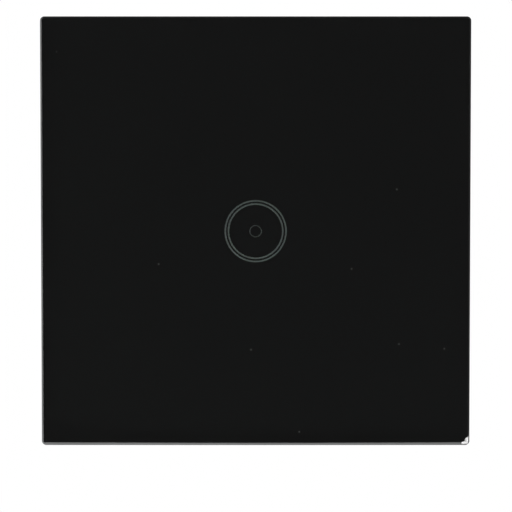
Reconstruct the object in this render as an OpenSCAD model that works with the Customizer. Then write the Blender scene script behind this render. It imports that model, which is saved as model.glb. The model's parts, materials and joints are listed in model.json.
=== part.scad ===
// Touch light switch for a 60 mm wall box, with a glass panel that pushes onto a steel plate.
// Part frame: X right, Y into the wall, Z up, with the origin in the middle of the wall plane.
// The pieces are drawn in the face frame (x right, y up, z out of the wall) and turned by face().

/* [Glass panel] */
// Width and height of the glass
panel_w = 80; // [79:0.5:100]
// Thickness of the glass
panel_t = 4; // [3:0.1:6]
// Radius of the glass corners
panel_r = 0.8; // [0.7:0.1:6]
// Ground bevel round the front edge
panel_bevel = 0.5; // [0.2:0.05:0.65]
// Arris ground on the rear edge
panel_arris = 0.2; // [0.1:0.05:0.6]

/* [Touch mark] */
// Middle radius of the outer ring line
mark_outer_r = 5.7; // [5.6:0.1:9]
// Middle radius of the inner ring line
mark_inner_r = 5.1; // [2:0.1:5.3]
// Width of the two ring lines
mark_line_w = 0.25; // [0.1:0.05:0.28]
// Middle radius of the small centre ring
mark_dot_r = 1.07; // [0.6:0.01:1.6]
// Width of the small ring's line
mark_dot_line_w = 0.14; // [0.08:0.01:0.3]
// Clearance round the ink in the print's slits
mark_fit = 0.01; // [0.005:0.005:0.03]

/* [Panel backing] */
// Thickness of the black print
print_t = 0.12; // [0.08:0.01:0.3]
// Distance of the print's edge from the glass edge
print_inset = 0.4; // [0.2:0.1:1]
// Thickness of the adhesive tape
tape_t = 0.3; // [0.1:0.05:1]
// Distance of the tape from both edges of the carrier's web
tape_inset = 1; // [0.5:0.1:3]
// Gap between the module and the print
panel_gap = 0.38; // [0.3:0.01:2]
// Distance of the carrier's edge from the glass edge
carrier_inset = 0.5; // [0.3:0.1:1.5]
// Wall of the carrier's skirt
carrier_wall = 1.6; // [1.2:0.1:2]
// Radius of the carrier's corners
carrier_r = 1.5; // [1:0.1:1.7]
// Thickness of the carrier's web behind the glass
carrier_web_t = 1.6; // [1:0.1:2]
// Width of the carrier's web from its outer edge to its opening
carrier_web_w = 9.5; // [6:0.1:12]
// Gap between the carrier's skirt and the wall
wall_gap = 0.4; // [0.2:0.1:1.5]
// Width of a spring tongue
tongue_w = 8; // [4:0.5:14]
// Thickness of a spring tongue
tongue_t = 1.2; // [0.8:0.1:1.6]
// Room behind a tongue to spring into
tongue_flex = 0.65; // [0.4:0.05:1.5]
// Distance of a tongue from the middle of its side
tongue_place = 20; // [15:0.5:25]
// Slip between a tongue and the plate's rim
grip_fit = 0.05; // [0.02:0.01:0.1]
// Length of a stop rib between two tongues
stop_l = 12; // [6:1:18]
// Gap between a stop rib and the plate's rim
stop_gap = 0.05; // [0.02:0.01:0.2]
// Width of the pry notch in the lower skirt
notch_w = 10; // [6:0.5:14]
// Depth of the pry notch
notch_h = 1.5; // [0.8:0.1:2.5]

/* [Mounting plate] */
// Thickness of the steel plate
plate_t = 1.2; // [1:0.1:2]
// Outer radius of the plate's corners
plate_r = 3; // [2:0.1:6]
// Height of the folded rim in front of the wall
rim_h = 3; // [2.5:0.1:3.6]
// Thickness of the rim
rim_t = 1.2; // [0.8:0.1:1.3]
// Spacing of the wall box's screws
fixing_spacing = 60; // [59:0.5:62]
// Width of the fixing slots
slot_w = 4.4; // [3.9:0.1:5]
// Length of the fixing slots
slot_l = 7.5; // [6:0.1:7.8]
// Clearance of the housing in the plate's opening
opening_fit = 0.5; // [0.2:0.1:1]

/* [Box screws] */
// Radius of the thread
box_screw_r = 1.75; // [1.7:0.05:1.85]
// Radius of the neck under the head
box_neck_r = 1.65; // [1.4:0.05:1.68]
// Reach of the screw behind the wall plane
box_screw_reach = 22; // [12:1:40]
// Radius of the head
box_head_r = 3.5; // [3:0.1:3.8]
// Height of the head
box_head_h = 2.2; // [1.6:0.1:2.6]

/* [Rear housing] */
// Width and height behind the plate
housing_w = 47.6; // [47.4:0.1:49]
// Corner cut that lets the housing into a round box
housing_corner = 9; // [8:0.1:9.4]
// Wall of the housing
housing_wall = 1.8; // [1.4:0.1:1.9]
// Chamfer of the rear edges
housing_chamfer = 1.5; // [0.5:0.1:1.8]
// Thickness of the front flange
flange_t = 1.5; // [1:0.1:2.5]
// Room between the tallest part and the rear wall
rear_room = 2.5; // [1:0.1:6]
// Room round the terminal block in the housing
block_fit = 0.2; // [0.1:0.05:0.4]
// Number of vents in the upper wall
vent_n = 5; // [3:1:6]
// Width of a vent
vent_w = 1.2; // [0.8:0.1:2]
// Length of a vent
vent_l = 8; // [4:0.5:11]
// Height of the fins between the wire windows
fin_h = 1.5; // [0.5:0.1:2.5]

/* [Module cover] */
// Height of the cover over the flange
cover_h = 3.8; // [3.7:0.1:6]
// Side wall of the cover
cover_wall = 1.5; // [1.2:0.1:1.8]
// Front wall of the cover
cover_front_t = 1.2; // [1:0.1:1.3]
// Chamfer round the cover's front
cover_chamfer = 0.6; // [0.2:0.1:0.9]
// Gap between the box screws' heads and the flange
head_room = 0.5; // [0.3:0.1:0.8]
// Distance of the corner screws from the flange's edges
corner_edge = 4; // [3.8:0.1:4.4]
// Radius of the corner bosses
corner_boss_r = 3; // [2.8:0.1:3.4]
// Radius of the corner screws
module_screw_r = 1.25; // [1:0.05:1.3]
// Radius of the corner screws' heads
module_head_r = 2.25; // [1.9:0.05:2.4]
// Height of the corner screws' heads
module_head_h = 1.5; // [1:0.1:1.6]
// Depth of the corner screws' heads below the cover's front
module_head_sink = 0.6; // [0.2:0.1:1]
// Slip of a screw in its clearance hole
screw_fit = 0.15; // [0.1:0.05:0.3]
// Slip of a screw in its thread
thread_fit = 0.02; // [0.01:0.01:0.05]

/* [Light guide] */
// Margin of the guide round the ring mark
guide_margin = 0.175; // [0.1:0.025:0.6]
// Width of the guide's rear collar
guide_collar_w = 1.25; // [0.8:0.05:2]
// Room over the LEDs
guide_room = 1; // [0.8:0.05:1.2]
// Slip of the guide in the cover's window
guide_fit = 0.1; // [0.05:0.05:0.3]

/* [Touch board] */
// Thickness of the touch board
touch_board_t = 1.2; // [0.8:0.1:1.2]
// Play of the touch board in the cover
board_play = 0.75; // [0.3:0.05:1]
// Width of the copper sensing ring
pad_w = 3; // [1.5:0.1:5]
// Thickness of the copper
pad_t = 0.1; // [0.05:0.01:0.15]
// Gap between the guide's collar and the sensing ring
pad_gap = 0.75; // [0.3:0.05:1.5]
// Distance of the outer LEDs from the middle
led_place = 3.8; // [3:0.1:4.2]
// Length, width and height of an LED
led_size = [1.6, 0.8, 0.7];
// Length, width and height of the touch chip
chip_size = [4.9, 3.9, 1.5];
// Height of the touch chip's place above the middle
chip_place = 8; // [4:0.5:14]

/* [Power board] */
// Depth of the power board's rear face behind the wall plane
board_depth = 6.4; // [5.5:0.1:9]
// Thickness of the power board
power_board_t = 1.6; // [1.2:0.1:2]
// Play of the power board in the housing
power_board_play = 0.5; // [0.3:0.05:0.5]
// Radius of the screws that hold it
board_screw_r = 1.1; // [0.9:0.05:1.2]
// Radius of the bosses under those screws
board_boss_r = 2.5; // [2.2:0.1:2.6]
// Distance of the board screws below the middle
board_screw_drop = 3; // [2:0.1:3.5]
// Number of pins between the boards
header_n = 6; // [4:1:7]
// Pitch of those pins
header_pitch = 2.54; // [2:0.01:2.54]
// Side of a square pin
header_pin_w = 0.64; // [0.5:0.01:0.7]
// Height of the header's base
header_h = 2.5; // [2:0.1:3]
// Width of the header and the socket
header_w = 2.54; // [2.2:0.01:2.8]
// Slip of a pin in its hole
pin_fit = 0.03; // [0.02:0.01:0.06]

/* [Power parts] */
// Gap between neighbouring parts
part_gap = 1.2; // [0.8:0.05:1.25]
// Radius of the parts' lead wires
lead_r = 0.35; // [0.25:0.01:0.4]
// Room round a lead in the board
lead_fit = 0.1; // [0.05:0.01:0.2]
// Length of a lead past the board
lead_tail = 1.2; // [0.8:0.1:2]
// Film capacitor: length, width and height
film_size = [13, 5.5, 11.5];
// Radius of the electrolytic capacitor
can_r = 4; // [3:0.1:4.2]
// Height of the electrolytic capacitor
can_h = 11.5; // [9:0.1:15]
// Radius of the choke
choke_r = 3.25; // [2.5:0.05:3.6]
// Height of the choke
choke_h = 8; // [6:0.1:14]
// Radius of the varistor disc
varistor_r = 3.75; // [3:0.05:4]
// Thickness of the varistor
varistor_t = 4; // [3:0.1:4.2]
// Radius of the fuse
fuse_r = 1.8; // [1.4:0.1:1.9]
// Length of the fuse
fuse_l = 10; // [7:0.1:10.4]
// Radius of the resistors
resistor_r = 1.2; // [0.8:0.05:1.25]
// Length of the resistors
resistor_l = 6.5; // [4:0.1:7]
// Rectifier: length, width and height
rectifier_size = [4.7, 4, 2.5];

/* [Relay] */
// Length of the relay
relay_l = 19; // [18.8:0.1:20]
// Width of the relay
relay_w = 15.5; // [14.5:0.1:15.6]
// Wall of the relay's case
relay_wall = 0.8; // [0.6:0.05:0.9]
// Thickness of the relay's base
relay_base_t = 1.8; // [1.4:0.1:2.4]
// Distance of the relay from the housing's side wall
relay_room = 3.5; // [3.4:0.1:4]
// Height of the coil's winding
coil_h = 4.8; // [3.5:0.1:7]
// Radius of the bobbin's flanges
bobbin_r = 5.2; // [4.4:0.1:5.3]
// Thickness of the bobbin's flanges
bobbin_t = 1; // [0.6:0.1:1.4]
// Radius of the core
core_r = 2; // [1.5:0.1:2.4]
// Height of the core's pole disc
pole_h = 1; // [0.6:0.1:1.5]
// Thickness of the yoke
yoke_t = 1.2; // [0.9:0.1:1.3]
// Width of the yoke and the armature
yoke_w = 10; // [7:0.1:12]
// Thickness of the armature
armature_t = 1.1; // [0.8:0.1:1.5]
// Angle of the armature at rest, with the contact open
relay_open = 3; // [2:0.1:4]
// Gap left when two moving faces meet
contact_gap = 0.05; // [0.03:0.01:0.1]
// Thickness of the contact leaf
leaf_t = 0.3; // [0.2:0.05:0.5]
// Width of the contact leaf
leaf_w = 6; // [4:0.1:6.5]
// Radius of the contact rivets
rivet_r = 1; // [0.7:0.05:1.1]
// Height of the moving rivet under the leaf
rivet_drop = 0.85; // [0.5:0.05:1]

/* [Terminals] */
// Pitch of the poles
pole_pitch = 9; // [8.6:0.1:9.2]
// Width and height of the open space for a wire
wire_w = 4.3; // [4.2:0.1:4.5]
// Side walls of a clamp cage
cage_wall = 0.9; // [0.7:0.05:1]
// Length of a cage along the wire
cage_l = 5; // [4.5:0.1:5.2]
// Threaded wall of a cage
cage_top_t = 1.8; // [1.4:0.1:2.2]
// Jaw of a cage
jaw_t = 1; // [0.7:0.1:1.4]
// Rise of a cage from open to closed
cage_travel = 2.5; // [2:0.1:2.6]
// Slip of a cage in its chamber, all round
cage_fit = 0.15; // [0.1:0.05:0.2]
// Gap at the ends of a cage's travel
cage_gap = 0.2; // [0.1:0.05:0.3]
// Thickness of a current bar
bar_t = 1; // [0.8:0.1:1.2]
// Radius of a terminal screw
clamp_screw_r = 1.5; // [1.25:0.05:1.55]
// Radius of its head
clamp_head_r = 2.5; // [2.1:0.05:2.6]
// Height of its head
clamp_head_h = 1.8; // [1.2:0.1:2.2]
// Slip of a terminal screw in the cage and the roof
clamp_fit = 0.05; // [0.03:0.01:0.08]
// Wall under a terminal screw's head
roof_t = 0.8; // [0.6:0.1:1.2]
// Depth of the heads below the block's rear face
clamp_head_sink = 0.4; // [0.2:0.1:1]
// Wall of the block in front of the cages
block_wall = 1.2; // [0.9:0.1:1.4]
// Wall of the block behind the cages
block_back = 3; // [2.6:0.1:3.2]

/* [Hidden] */
$fn = 64;

// How far a cut runs past the face that it opens
past = 0.5;
// Width of the cross recess in the small screws
recess_w = 0.7;

// Levels in front of the wall plane
module_z = plate_t + flange_t;
touch_top_z = module_z + touch_board_t;
cover_top_z = module_z + cover_h;
cover_ceiling_z = cover_top_z - cover_front_t;
print_z = cover_top_z + panel_gap;
glass_z = print_z + print_t;
carrier_top_z = print_z - tape_t;
web_z = carrier_top_z - carrier_web_t;

// Outlines of the panel, the plate and the module's front
carrier_w = panel_w - 2 * carrier_inset;
carrier_inner_w = carrier_w - 2 * carrier_wall;
plate_w = carrier_inner_w - 2 * (tongue_flex + tongue_t + grip_fit);
flange_w = fixing_spacing - 2 * (box_head_r + head_room);
web_opening_w = carrier_w - 2 * carrier_web_w;
corner_place = flange_w / 2 - corner_edge;
tongue_lead_in = 0.5;
notch_in = 0.6;

// Outlines of the housing and the boards
housing_inner = housing_w / 2 - housing_wall;
housing_inner_chamfer = housing_chamfer / 2;
touch_board_w = flange_w - 2 * (cover_wall + board_play);
touch_board_corner = touch_board_w - 2 * corner_place + sqrt(2) * (corner_boss_r + board_play);
guide_r = mark_outer_r + mark_line_w / 2 + guide_margin;
guide_collar_r = guide_r + guide_collar_w;
pad_r = guide_collar_r + pad_gap;
hold_down_size = [6, 2];
hold_down_place = touch_board_w / 2 - hold_down_size[1];
chip_gap = 0.1;
board_front_z = power_board_t - board_depth;
board_screw_place = [housing_inner - board_boss_r, -board_screw_drop];
board_head_size = [2, 1.5];
board_thread_depth = 6;
ledge_size = [1.5, 2.4];

// Heights of the terminal parts above the power board
jaw_h = 0.5;
wire_h = jaw_h + jaw_t;
bar_h = wire_h + wire_w;
cage_top_h = bar_h + bar_t + cage_gap;
roof_h = cage_top_h + cage_top_t + cage_travel + cage_gap;
head_gap = 0.1;
clamp_head_at = roof_h + roof_t + head_gap;
block_h = clamp_head_at + clamp_head_h + clamp_head_sink;
tip_gap = 0.05;

// Places of the terminal parts
poles = [-pole_pitch, 0, pole_pitch];
cage_w = wire_w + 2 * cage_wall;
chamber_w = cage_w + 2 * cage_fit;
block_end = 1.3;
block_w = 2 * pole_pitch + chamber_w + 2 * block_end;
block_low = block_fit - housing_inner;
chamber_low = block_low + block_wall;
chamber_high = chamber_low + cage_l + 2 * cage_fit;
block_high = chamber_high + block_back;
clamp_y = (chamber_low + chamber_high) / 2;
bar_side = 0.45;
bar_w = wire_w - 2 * bar_side;
bar_fit = 0.1;
bar_leg_gap = 0.6;
bar_leg_y = chamber_high + bar_leg_gap;
bar_pin_r = 0.45;
entry_fit = 0.15;
window_fit = 0.35;
wire_mid_h = wire_h + wire_w / 2;
wire_mid_z = -board_depth - wire_mid_h;
access_fit = 0.1;
well_fit = 0.2;

// Places of the parts on the power board, in rows above the terminal block
header_y = block_high + part_gap + header_w / 2;
fuse_y = header_y + header_w / 2 + part_gap + fuse_r;
resistor_y = fuse_y + fuse_r + part_gap + resistor_r;
relay_x = relay_l / 2 + relay_room - housing_inner;
relay_y = resistor_y + resistor_r + part_gap + relay_w / 2;
right_x = relay_x + relay_l / 2 + part_gap;
varistor_x = right_x + varistor_r;
rectifier_x = (varistor_x + varistor_r + board_screw_place[0] - board_boss_r) / 2;
can_x = right_x + can_r;
can_y = resistor_y + varistor_t / 2 + part_gap + can_r;
choke_x = can_x + can_r + part_gap + choke_r;
film_x = right_x + film_size[0] / 2;
film_y = can_y + can_r + part_gap + film_size[1] / 2;
axial_lift = 0.6;
lead_run = 0.7;
lead_bend_r = 0.8;
varistor_lift = 1;
varistor_foot_h = 0.5;
fuse_hole = fuse_l / 2 + lead_run + lead_bend_r;
resistor_hole = resistor_l / 2 + lead_run + lead_bend_r;
film_lead_in = 1.5;
film_pitch = film_size[0] - 2 * film_lead_in;
can_pitch = 3.5;
choke_pitch = 3;
varistor_pitch = 5;
radial_leads = [
    for (side = [-0.5, 0.5]) each [
        [film_x + side * film_pitch, film_y, 0],
        [can_x + side * can_pitch, can_y, 0],
        [choke_x + side * choke_pitch, can_y, 0],
        [varistor_x + side * varistor_pitch, resistor_y, varistor_foot_h]
    ]
];
resistor_places = [[varistor_x, fuse_y], [relay_x, resistor_y]];
axial_holes = [
    for (side = [-1, 1]) each [
        [relay_x + side * fuse_hole, fuse_y],
        for (p = resistor_places) [p[0] + side * resistor_hole, p[1]]
    ]
];

// Heights of the relay's parts above the power board
yoke_foot_h = relay_base_t + yoke_t;
pole_face_h = yoke_foot_h + 2 * bobbin_t + coil_h + pole_h;
hinge_h = pole_face_h + contact_gap;
leaf_h = hinge_h + armature_t;
rivet_cap = 0.35;
fixed_rivet_h = 0.3;
blade_t = 0.5;
make_h = leaf_h - rivet_drop - contact_gap;
leaf_top_h = leaf_h + leaf_t + rivet_cap;

// Places of the relay's parts along its length
case_fit = 0.1;
yoke_room = 0.5;
yoke_u = relay_wall + yoke_room - relay_l / 2;
hinge_u = yoke_u + yoke_t / 2;
coil_gap = 0.2;
coil_u = yoke_u + yoke_t + bobbin_r + coil_gap;
coil_sink = 0.4;
coil_r = bobbin_r - coil_sink;
bobbin_tube_t = 0.6;
core_fit = 0.05;
pole_lip = 1.4;
pole_r = core_r + pole_lip;
armature_end = 2.2;
armature_u = [yoke_u + yoke_t / 6, coil_u + pole_r + armature_end];
blade_room = 0.2;
blade_u = relay_l / 2 - relay_wall - blade_t - blade_room;
blade_v = [0.8, 4.6];
leaf_end_gap = 0.4;
rivet_u = blade_u - leaf_end_gap - rivet_r;
leaf_u = [coil_u - pole_lip, blade_u - leaf_end_gap];
break_h = hinge_h + (leaf_top_h - hinge_h) * cos(relay_open)
    + (rivet_u + rivet_r - hinge_u) * sin(relay_open) + contact_gap;
relay_roof_gap = 0.25;
relay_h = break_h + fixed_rivet_h + blade_t + relay_roof_gap + relay_wall;
relay_pin_r = 0.45;
coil_pin_rise = 2;
coil_pin_h = relay_base_t + coil_pin_rise;
coil_pin_room = 0.75;
coil_pin_v = relay_w / 2 - relay_wall - coil_pin_room;
coil_pins = [for (side = [-1, 1]) [coil_u - pole_r, side * coil_pin_v]];
common_pin = [hinge_u, 0];
blade_pins = [for (side = [-1, 1]) [blade_u + blade_t / 2, side * (blade_v[0] + blade_v[1]) / 2]];
relay_holes = concat(coil_pins, [common_pin], blade_pins);

// Depths of the housing behind the wall plane
part_heights = [relay_h, film_size[2], can_h, choke_h, varistor_lift + 2 * varistor_r];
housing_depth = board_depth + max(part_heights) + rear_room + housing_wall;
terminal_depth = board_depth + block_h + block_fit + housing_wall;
step_room = 1;
step_y = block_high + block_fit + step_room;

// Turns the face frame into the part's frame
module face() {
    rotate([90, 0, 0]) children();
}

// Puts children on the power board's rear face, with z as their height above it
module on_board() {
    translate([0, 0, -board_depth]) mirror([0, 0, 1]) children();
}

// Puts children on the relay's place on the board
module on_relay() {
    on_board() translate([relay_x, relay_y, 0]) children();
}

// Turns children about the armature's hinge from closed to the open rest
module at_open() {
    translate([hinge_u, 0, hinge_h]) rotate([0, -relay_open, 0])
        translate([-hinge_u, 0, -hinge_h]) children();
}

// Box from one corner to the other
module span(low, high) {
    translate(low) cube(high - low);
}

module at_corners(place) {
    for (x = [-1, 1], y = [-1, 1]) translate([x * place, y * place, 0]) children();
}

module at_box_screws() {
    for (side = [-1, 1]) translate([side * fixing_spacing / 2, 0, 0]) children();
}

module rounded_square(w, r) {
    square([w, w - 2 * r], center = true);
    square([w - 2 * r, w], center = true);
    at_corners(w / 2 - r) circle(r);
}

// Slot along y
module slot_outline(w, l) {
    square([w, l - w], center = true);
    for (end = [-1, 1]) translate([0, end * (l - w) / 2]) circle(w / 2);
}

// Square with cut corners, drawn in by an inset with an even wall
function octagon(w, corner, inset) =
    let (a = w / 2 - inset, b = w / 2 - corner - inset * (sqrt(2) - 1))
    [[a, -b], [a, b], [b, a], [-b, a], [-a, b], [-a, -b], [-b, -a], [b, -a]];

// Closed outline of a plate's section, from the profile of one edge as [inset, z]
function plate_section(w, edge) = concat(
    [for (p = edge) [w / 2 - p[0], p[1]]],
    [for (i = [len(edge) - 1 : -1 : 0]) [edge[i][0] - w / 2, edge[i][1]]]
);

// Square plate with round corners whose edge profile runs all the way round
module edged_plate(w, r, edge) {
    for (turn = [0, 90])
        rotate([0, 0, turn]) rotate([90, 0, 0])
            linear_extrude(w - 2 * r, center = true) polygon(plate_section(w, edge));
    at_corners(w / 2 - r) rotate_extrude()
        polygon(concat([[0, edge[0][1]]], [for (p = edge) [r - p[0], p[1]]], [[0, edge[len(edge) - 1][1]]]));
}

// Flat ring between two radii
module ring(outer, inner, t) {
    linear_extrude(t) difference() {
        circle(outer);
        circle(inner);
    }
}

// Screw along z with its head's underside at z = 0, from a revolved profile with a cross recess
module screw(r, reach, head_r, head_h, recess) {
    tip = r / 3;
    difference() {
        rotate_extrude() polygon([
            [0, -reach], [r - tip, -reach], [r, tip - reach], [r, 0], [head_r, 0],
            [head_r, head_h * 0.55], [head_r * 0.7, head_h], [0, head_h]
        ]);
        for (turn = [0, 90]) rotate([0, 0, turn])
            span([-head_r * 0.6, -recess / 2, head_h * 0.45], [head_r * 0.6, recess / 2, head_h + past]);
    }
}

// Panel

module glass_panel() {
    edge = [
        [panel_arris, glass_z], [0, glass_z + panel_arris],
        [0, glass_z + panel_t - panel_bevel], [panel_bevel, glass_z + panel_t]
    ];
    color([0.08, 0.08, 0.085]) face() edged_plate(panel_w, panel_r, edge);
}

// Ring lines of the mark as [middle radius, width]
mark_lines = [[mark_outer_r, mark_line_w], [mark_inner_r, mark_line_w], [mark_dot_r, mark_dot_line_w]];

module back_print() {
    color([0.03, 0.03, 0.03]) face() translate([0, 0, print_z]) difference() {
        linear_extrude(print_t) rounded_square(panel_w - 2 * print_inset, panel_r);
        for (m = mark_lines) translate([0, 0, -past])
            ring(m[0] + m[1] / 2, m[0] - m[1] / 2, print_t + 2 * past);
    }
}

module touch_mark() {
    color([0.31, 0.33, 0.32]) face() translate([0, 0, print_z])
        for (m = mark_lines) ring(m[0] + m[1] / 2 - mark_fit, m[0] - m[1] / 2 + mark_fit, print_t);
}

module adhesive_tape() {
    color([0.85, 0.85, 0.82]) face() translate([0, 0, carrier_top_z]) linear_extrude(tape_t)
        difference() {
            rounded_square(carrier_w - 2 * tape_inset, carrier_r);
            rounded_square(web_opening_w + 2 * tape_inset, carrier_r);
        }
}

// Spring tongue that grips the rim of the plate, drawn on the +x side
module spring_tongue() {
    near = plate_w / 2 + grip_fit;
    far = near + tongue_t;
    tip_z = wall_gap;
    rotate([90, 0, 0]) linear_extrude(tongue_w, center = true) polygon([
        [near, web_z + past], [far, web_z + past], [far, tip_z],
        [near + tongue_lead_in, tip_z], [near, tip_z + tongue_lead_in]
    ]);
}

module carrier_frame() {
    edge = [[0, wall_gap], [0, carrier_top_z - past], [carrier_inset / 2, carrier_top_z]];
    color([0.12, 0.12, 0.13]) face() difference() {
        union() {
            difference() {
                edged_plate(carrier_w, carrier_r, edge);
                translate([0, 0, wall_gap - past]) linear_extrude(web_z - wall_gap + past)
                    rounded_square(carrier_inner_w, carrier_r / 2);
                translate([0, 0, web_z - past]) linear_extrude(carrier_web_t + 2 * past)
                    rounded_square(web_opening_w, carrier_r);
            }
            for (turn = [0 : 90 : 270]) rotate([0, 0, turn]) {
                for (side = [-1, 1]) translate([0, side * tongue_place, 0]) spring_tongue();
                span([plate_w / 2 - rim_t, -stop_l / 2, rim_h + stop_gap],
                    [plate_w / 2, stop_l / 2, web_z + past]);
            }
        }
        span([-notch_w / 2, -carrier_w / 2 - past, wall_gap - past],
            [notch_w / 2, carrier_wall + notch_in - carrier_w / 2, wall_gap + notch_h]);
        at_box_screws() translate([0, 0, plate_t])
            cylinder(r = box_head_r + head_room, h = box_head_h + stop_gap);
    }
}

// Plate and module

module mounting_plate() {
    color([0.72, 0.73, 0.74]) face() difference() {
        linear_extrude(rim_h) rounded_square(plate_w, plate_r);
        translate([0, 0, plate_t]) linear_extrude(rim_h) {
            rounded_square(plate_w - 2 * rim_t, plate_r - rim_t);
            at_box_screws() circle(box_head_r + head_room);
        }
        translate([0, 0, -past]) linear_extrude(plate_t + 2 * past) {
            polygon(octagon(housing_w, housing_corner, -opening_fit));
            at_box_screws() slot_outline(slot_w, slot_l);
            for (side = [-1, 1]) translate([0, side * fixing_spacing / 2]) slot_outline(slot_w, slot_l);
            at_corners(corner_place) circle(module_screw_r + thread_fit);
        }
    }
}

module box_screws() {
    neck_end = -0.6;
    half_slot = 0.5;
    tip = box_screw_r / 3;
    top = plate_t + box_head_h;
    color([0.78, 0.78, 0.76]) face() at_box_screws() difference() {
        rotate_extrude() polygon([
            [0, -box_screw_reach], [box_screw_r - tip, -box_screw_reach], [box_screw_r, tip - box_screw_reach],
            [box_screw_r, neck_end], [box_neck_r, neck_end], [box_neck_r, plate_t], [box_head_r, plate_t],
            [box_head_r, plate_t + box_head_h / 2], [box_head_r * 0.7, top], [0, top]
        ]);
        span([-box_head_r - past, -half_slot, plate_t + box_head_h / 2],
            [box_head_r + past, half_slot, top + past]);
    }
}

// Side section of the housing, stepped up at the terminals, as [y, z]
function housing_section(inset, chamfer, top) =
    let (
        a = housing_w / 2 - inset, deep = inset - housing_depth,
        shallow = inset - terminal_depth, step = step_y + inset, c = chamfer
    )
    [
        [a, top], [a, deep + c], [a - c, deep], [step + c, deep], [step, deep + c],
        [step, shallow], [c - a, shallow], [-a, shallow + c], [-a, top]
    ];

// Form of the housing drawn in by an inset: cut-corner plan, stepped side and chamfered rear
module housing_form(inset, chamfer, top) {
    a = housing_w / 2 - inset;
    deep = inset - housing_depth;
    intersection() {
        translate([0, 0, deep]) linear_extrude(top - deep) polygon(octagon(housing_w, housing_corner, inset));
        rotate([90, 0, 90]) linear_extrude(housing_w, center = true)
            polygon(housing_section(inset, chamfer, top));
        rotate([90, 0, 0]) linear_extrude(housing_w, center = true) polygon([
            [a, top], [a, deep + chamfer], [a - chamfer, deep],
            [chamfer - a, deep], [-a, deep + chamfer], [-a, top]
        ]);
    }
}

module rear_housing() {
    rear_z = housing_wall - housing_depth;
    vent_step = (housing_w - 2 * housing_corner) / (vent_n + 1);
    vent_z = -board_depth - rear_room - vent_l;
    window = wire_w + 2 * window_fit;
    color([0.9, 0.9, 0.88]) face() difference() {
        union() {
            difference() {
                union() {
                    housing_form(0, housing_chamfer, module_z);
                    translate([0, 0, plate_t]) linear_extrude(flange_t) rounded_square(flange_w, corner_edge);
                }
                housing_form(housing_wall, housing_inner_chamfer, module_z + past);
            }
            for (side = [-1, 1]) {
                translate([side * board_screw_place[0], board_screw_place[1], rear_z - past])
                    cylinder(r = board_boss_r, h = -board_depth - rear_z + past);
                span([side * housing_inner - ledge_size[0], relay_y - ledge_size[1] / 2, rear_z - past],
                    [side * housing_inner + ledge_size[0], relay_y + ledge_size[1] / 2, -board_depth]);
                span([side * pole_pitch / 2 - housing_wall / 3, -housing_w / 2 - fin_h, wire_mid_z - window],
                    [side * pole_pitch / 2 + housing_wall / 3, past - housing_w / 2, wire_mid_z + window]);
            }
        }
        for (side = [-1, 1])
            translate([side * board_screw_place[0], board_screw_place[1], -board_depth - board_thread_depth])
                cylinder(r = board_screw_r + thread_fit, h = board_thread_depth + past);
        at_corners(corner_place) translate([0, 0, plate_t - past])
            cylinder(r = module_screw_r + screw_fit, h = flange_t + 2 * past);
        for (i = [1 : vent_n]) translate([i * vent_step - housing_w / 2 + housing_corner, 0, 0])
            span([-vent_w / 2, housing_inner - past, vent_z],
                [vent_w / 2, housing_w / 2 + past, vent_z + vent_l]);
        for (x = poles) {
            span([x - window / 2, -housing_w / 2 - past, wire_mid_z - window / 2],
                [x + window / 2, past - housing_inner, wire_mid_z + window / 2]);
            translate([x, clamp_y, -terminal_depth - past])
                cylinder(r = clamp_head_r + access_fit, h = housing_wall + 2 * past);
        }
    }
}

module module_cover() {
    edge = [[0, module_z], [0, cover_top_z - cover_chamfer], [cover_chamfer, cover_top_z]];
    inner_w = flange_w - 2 * cover_wall;
    head_z = cover_top_z - module_head_sink - module_head_h;
    color([0.86, 0.86, 0.84]) face() difference() {
        union() {
            difference() {
                edged_plate(flange_w, corner_edge, edge);
                translate([0, 0, module_z - past]) linear_extrude(cover_ceiling_z - module_z + past)
                    rounded_square(inner_w, corner_edge - cover_wall);
            }
            at_corners(corner_place) translate([0, 0, module_z])
                cylinder(r = corner_boss_r, h = cover_ceiling_z - module_z + past);
            for (turn = [0 : 90 : 270]) rotate([0, 0, turn]) translate([0, hold_down_place, 0])
                span([-hold_down_size[0] / 2, -hold_down_size[1] / 2, touch_top_z],
                    [hold_down_size[0] / 2, hold_down_size[1] / 2, cover_ceiling_z + past]);
        }
        translate([0, 0, cover_ceiling_z - past])
            cylinder(r = guide_r + guide_fit, h = cover_front_t + 2 * past);
        at_corners(corner_place) {
            translate([0, 0, module_z - past]) cylinder(r = module_screw_r + screw_fit, h = cover_h + 2 * past);
            translate([0, 0, head_z]) cylinder(r = module_head_r + screw_fit, h = cover_h);
        }
    }
}

module module_screws() {
    head_z = cover_top_z - module_head_sink - module_head_h;
    tip_z = 0.1;
    color([0.7, 0.7, 0.7]) face() at_corners(corner_place) translate([0, 0, head_z])
        screw(module_screw_r, head_z - tip_z, module_head_r, module_head_h, recess_w);
}

module light_guide() {
    color([0.93, 0.95, 0.95]) face() rotate_extrude() polygon([
        [0, touch_top_z + guide_room], [guide_r - guide_fit, touch_top_z + guide_room],
        [guide_r, touch_top_z], [guide_collar_r, touch_top_z], [guide_collar_r, cover_ceiling_z],
        [guide_r, cover_ceiling_z], [guide_r, cover_top_z], [0, cover_top_z]
    ]);
}

// Touch board and its parts

module touch_board() {
    color([0.1, 0.32, 0.18]) face() translate([0, 0, module_z])
        linear_extrude(touch_board_t) polygon(octagon(touch_board_w, touch_board_corner, 0));
}

module touch_pad() {
    color([0.8, 0.52, 0.3]) face() translate([0, 0, touch_top_z]) ring(pad_r + pad_w, pad_r, pad_t);
}

module indicator_leds() {
    places = concat([[0, 0]], [for (a = [45 : 90 : 315]) led_place * [cos(a), sin(a)]]);
    color([0.95, 0.94, 0.8]) face() for (p = places)
        translate([p[0] - led_size[0] / 2, p[1] - led_size[1] / 2, touch_top_z]) cube(led_size);
}

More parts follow.
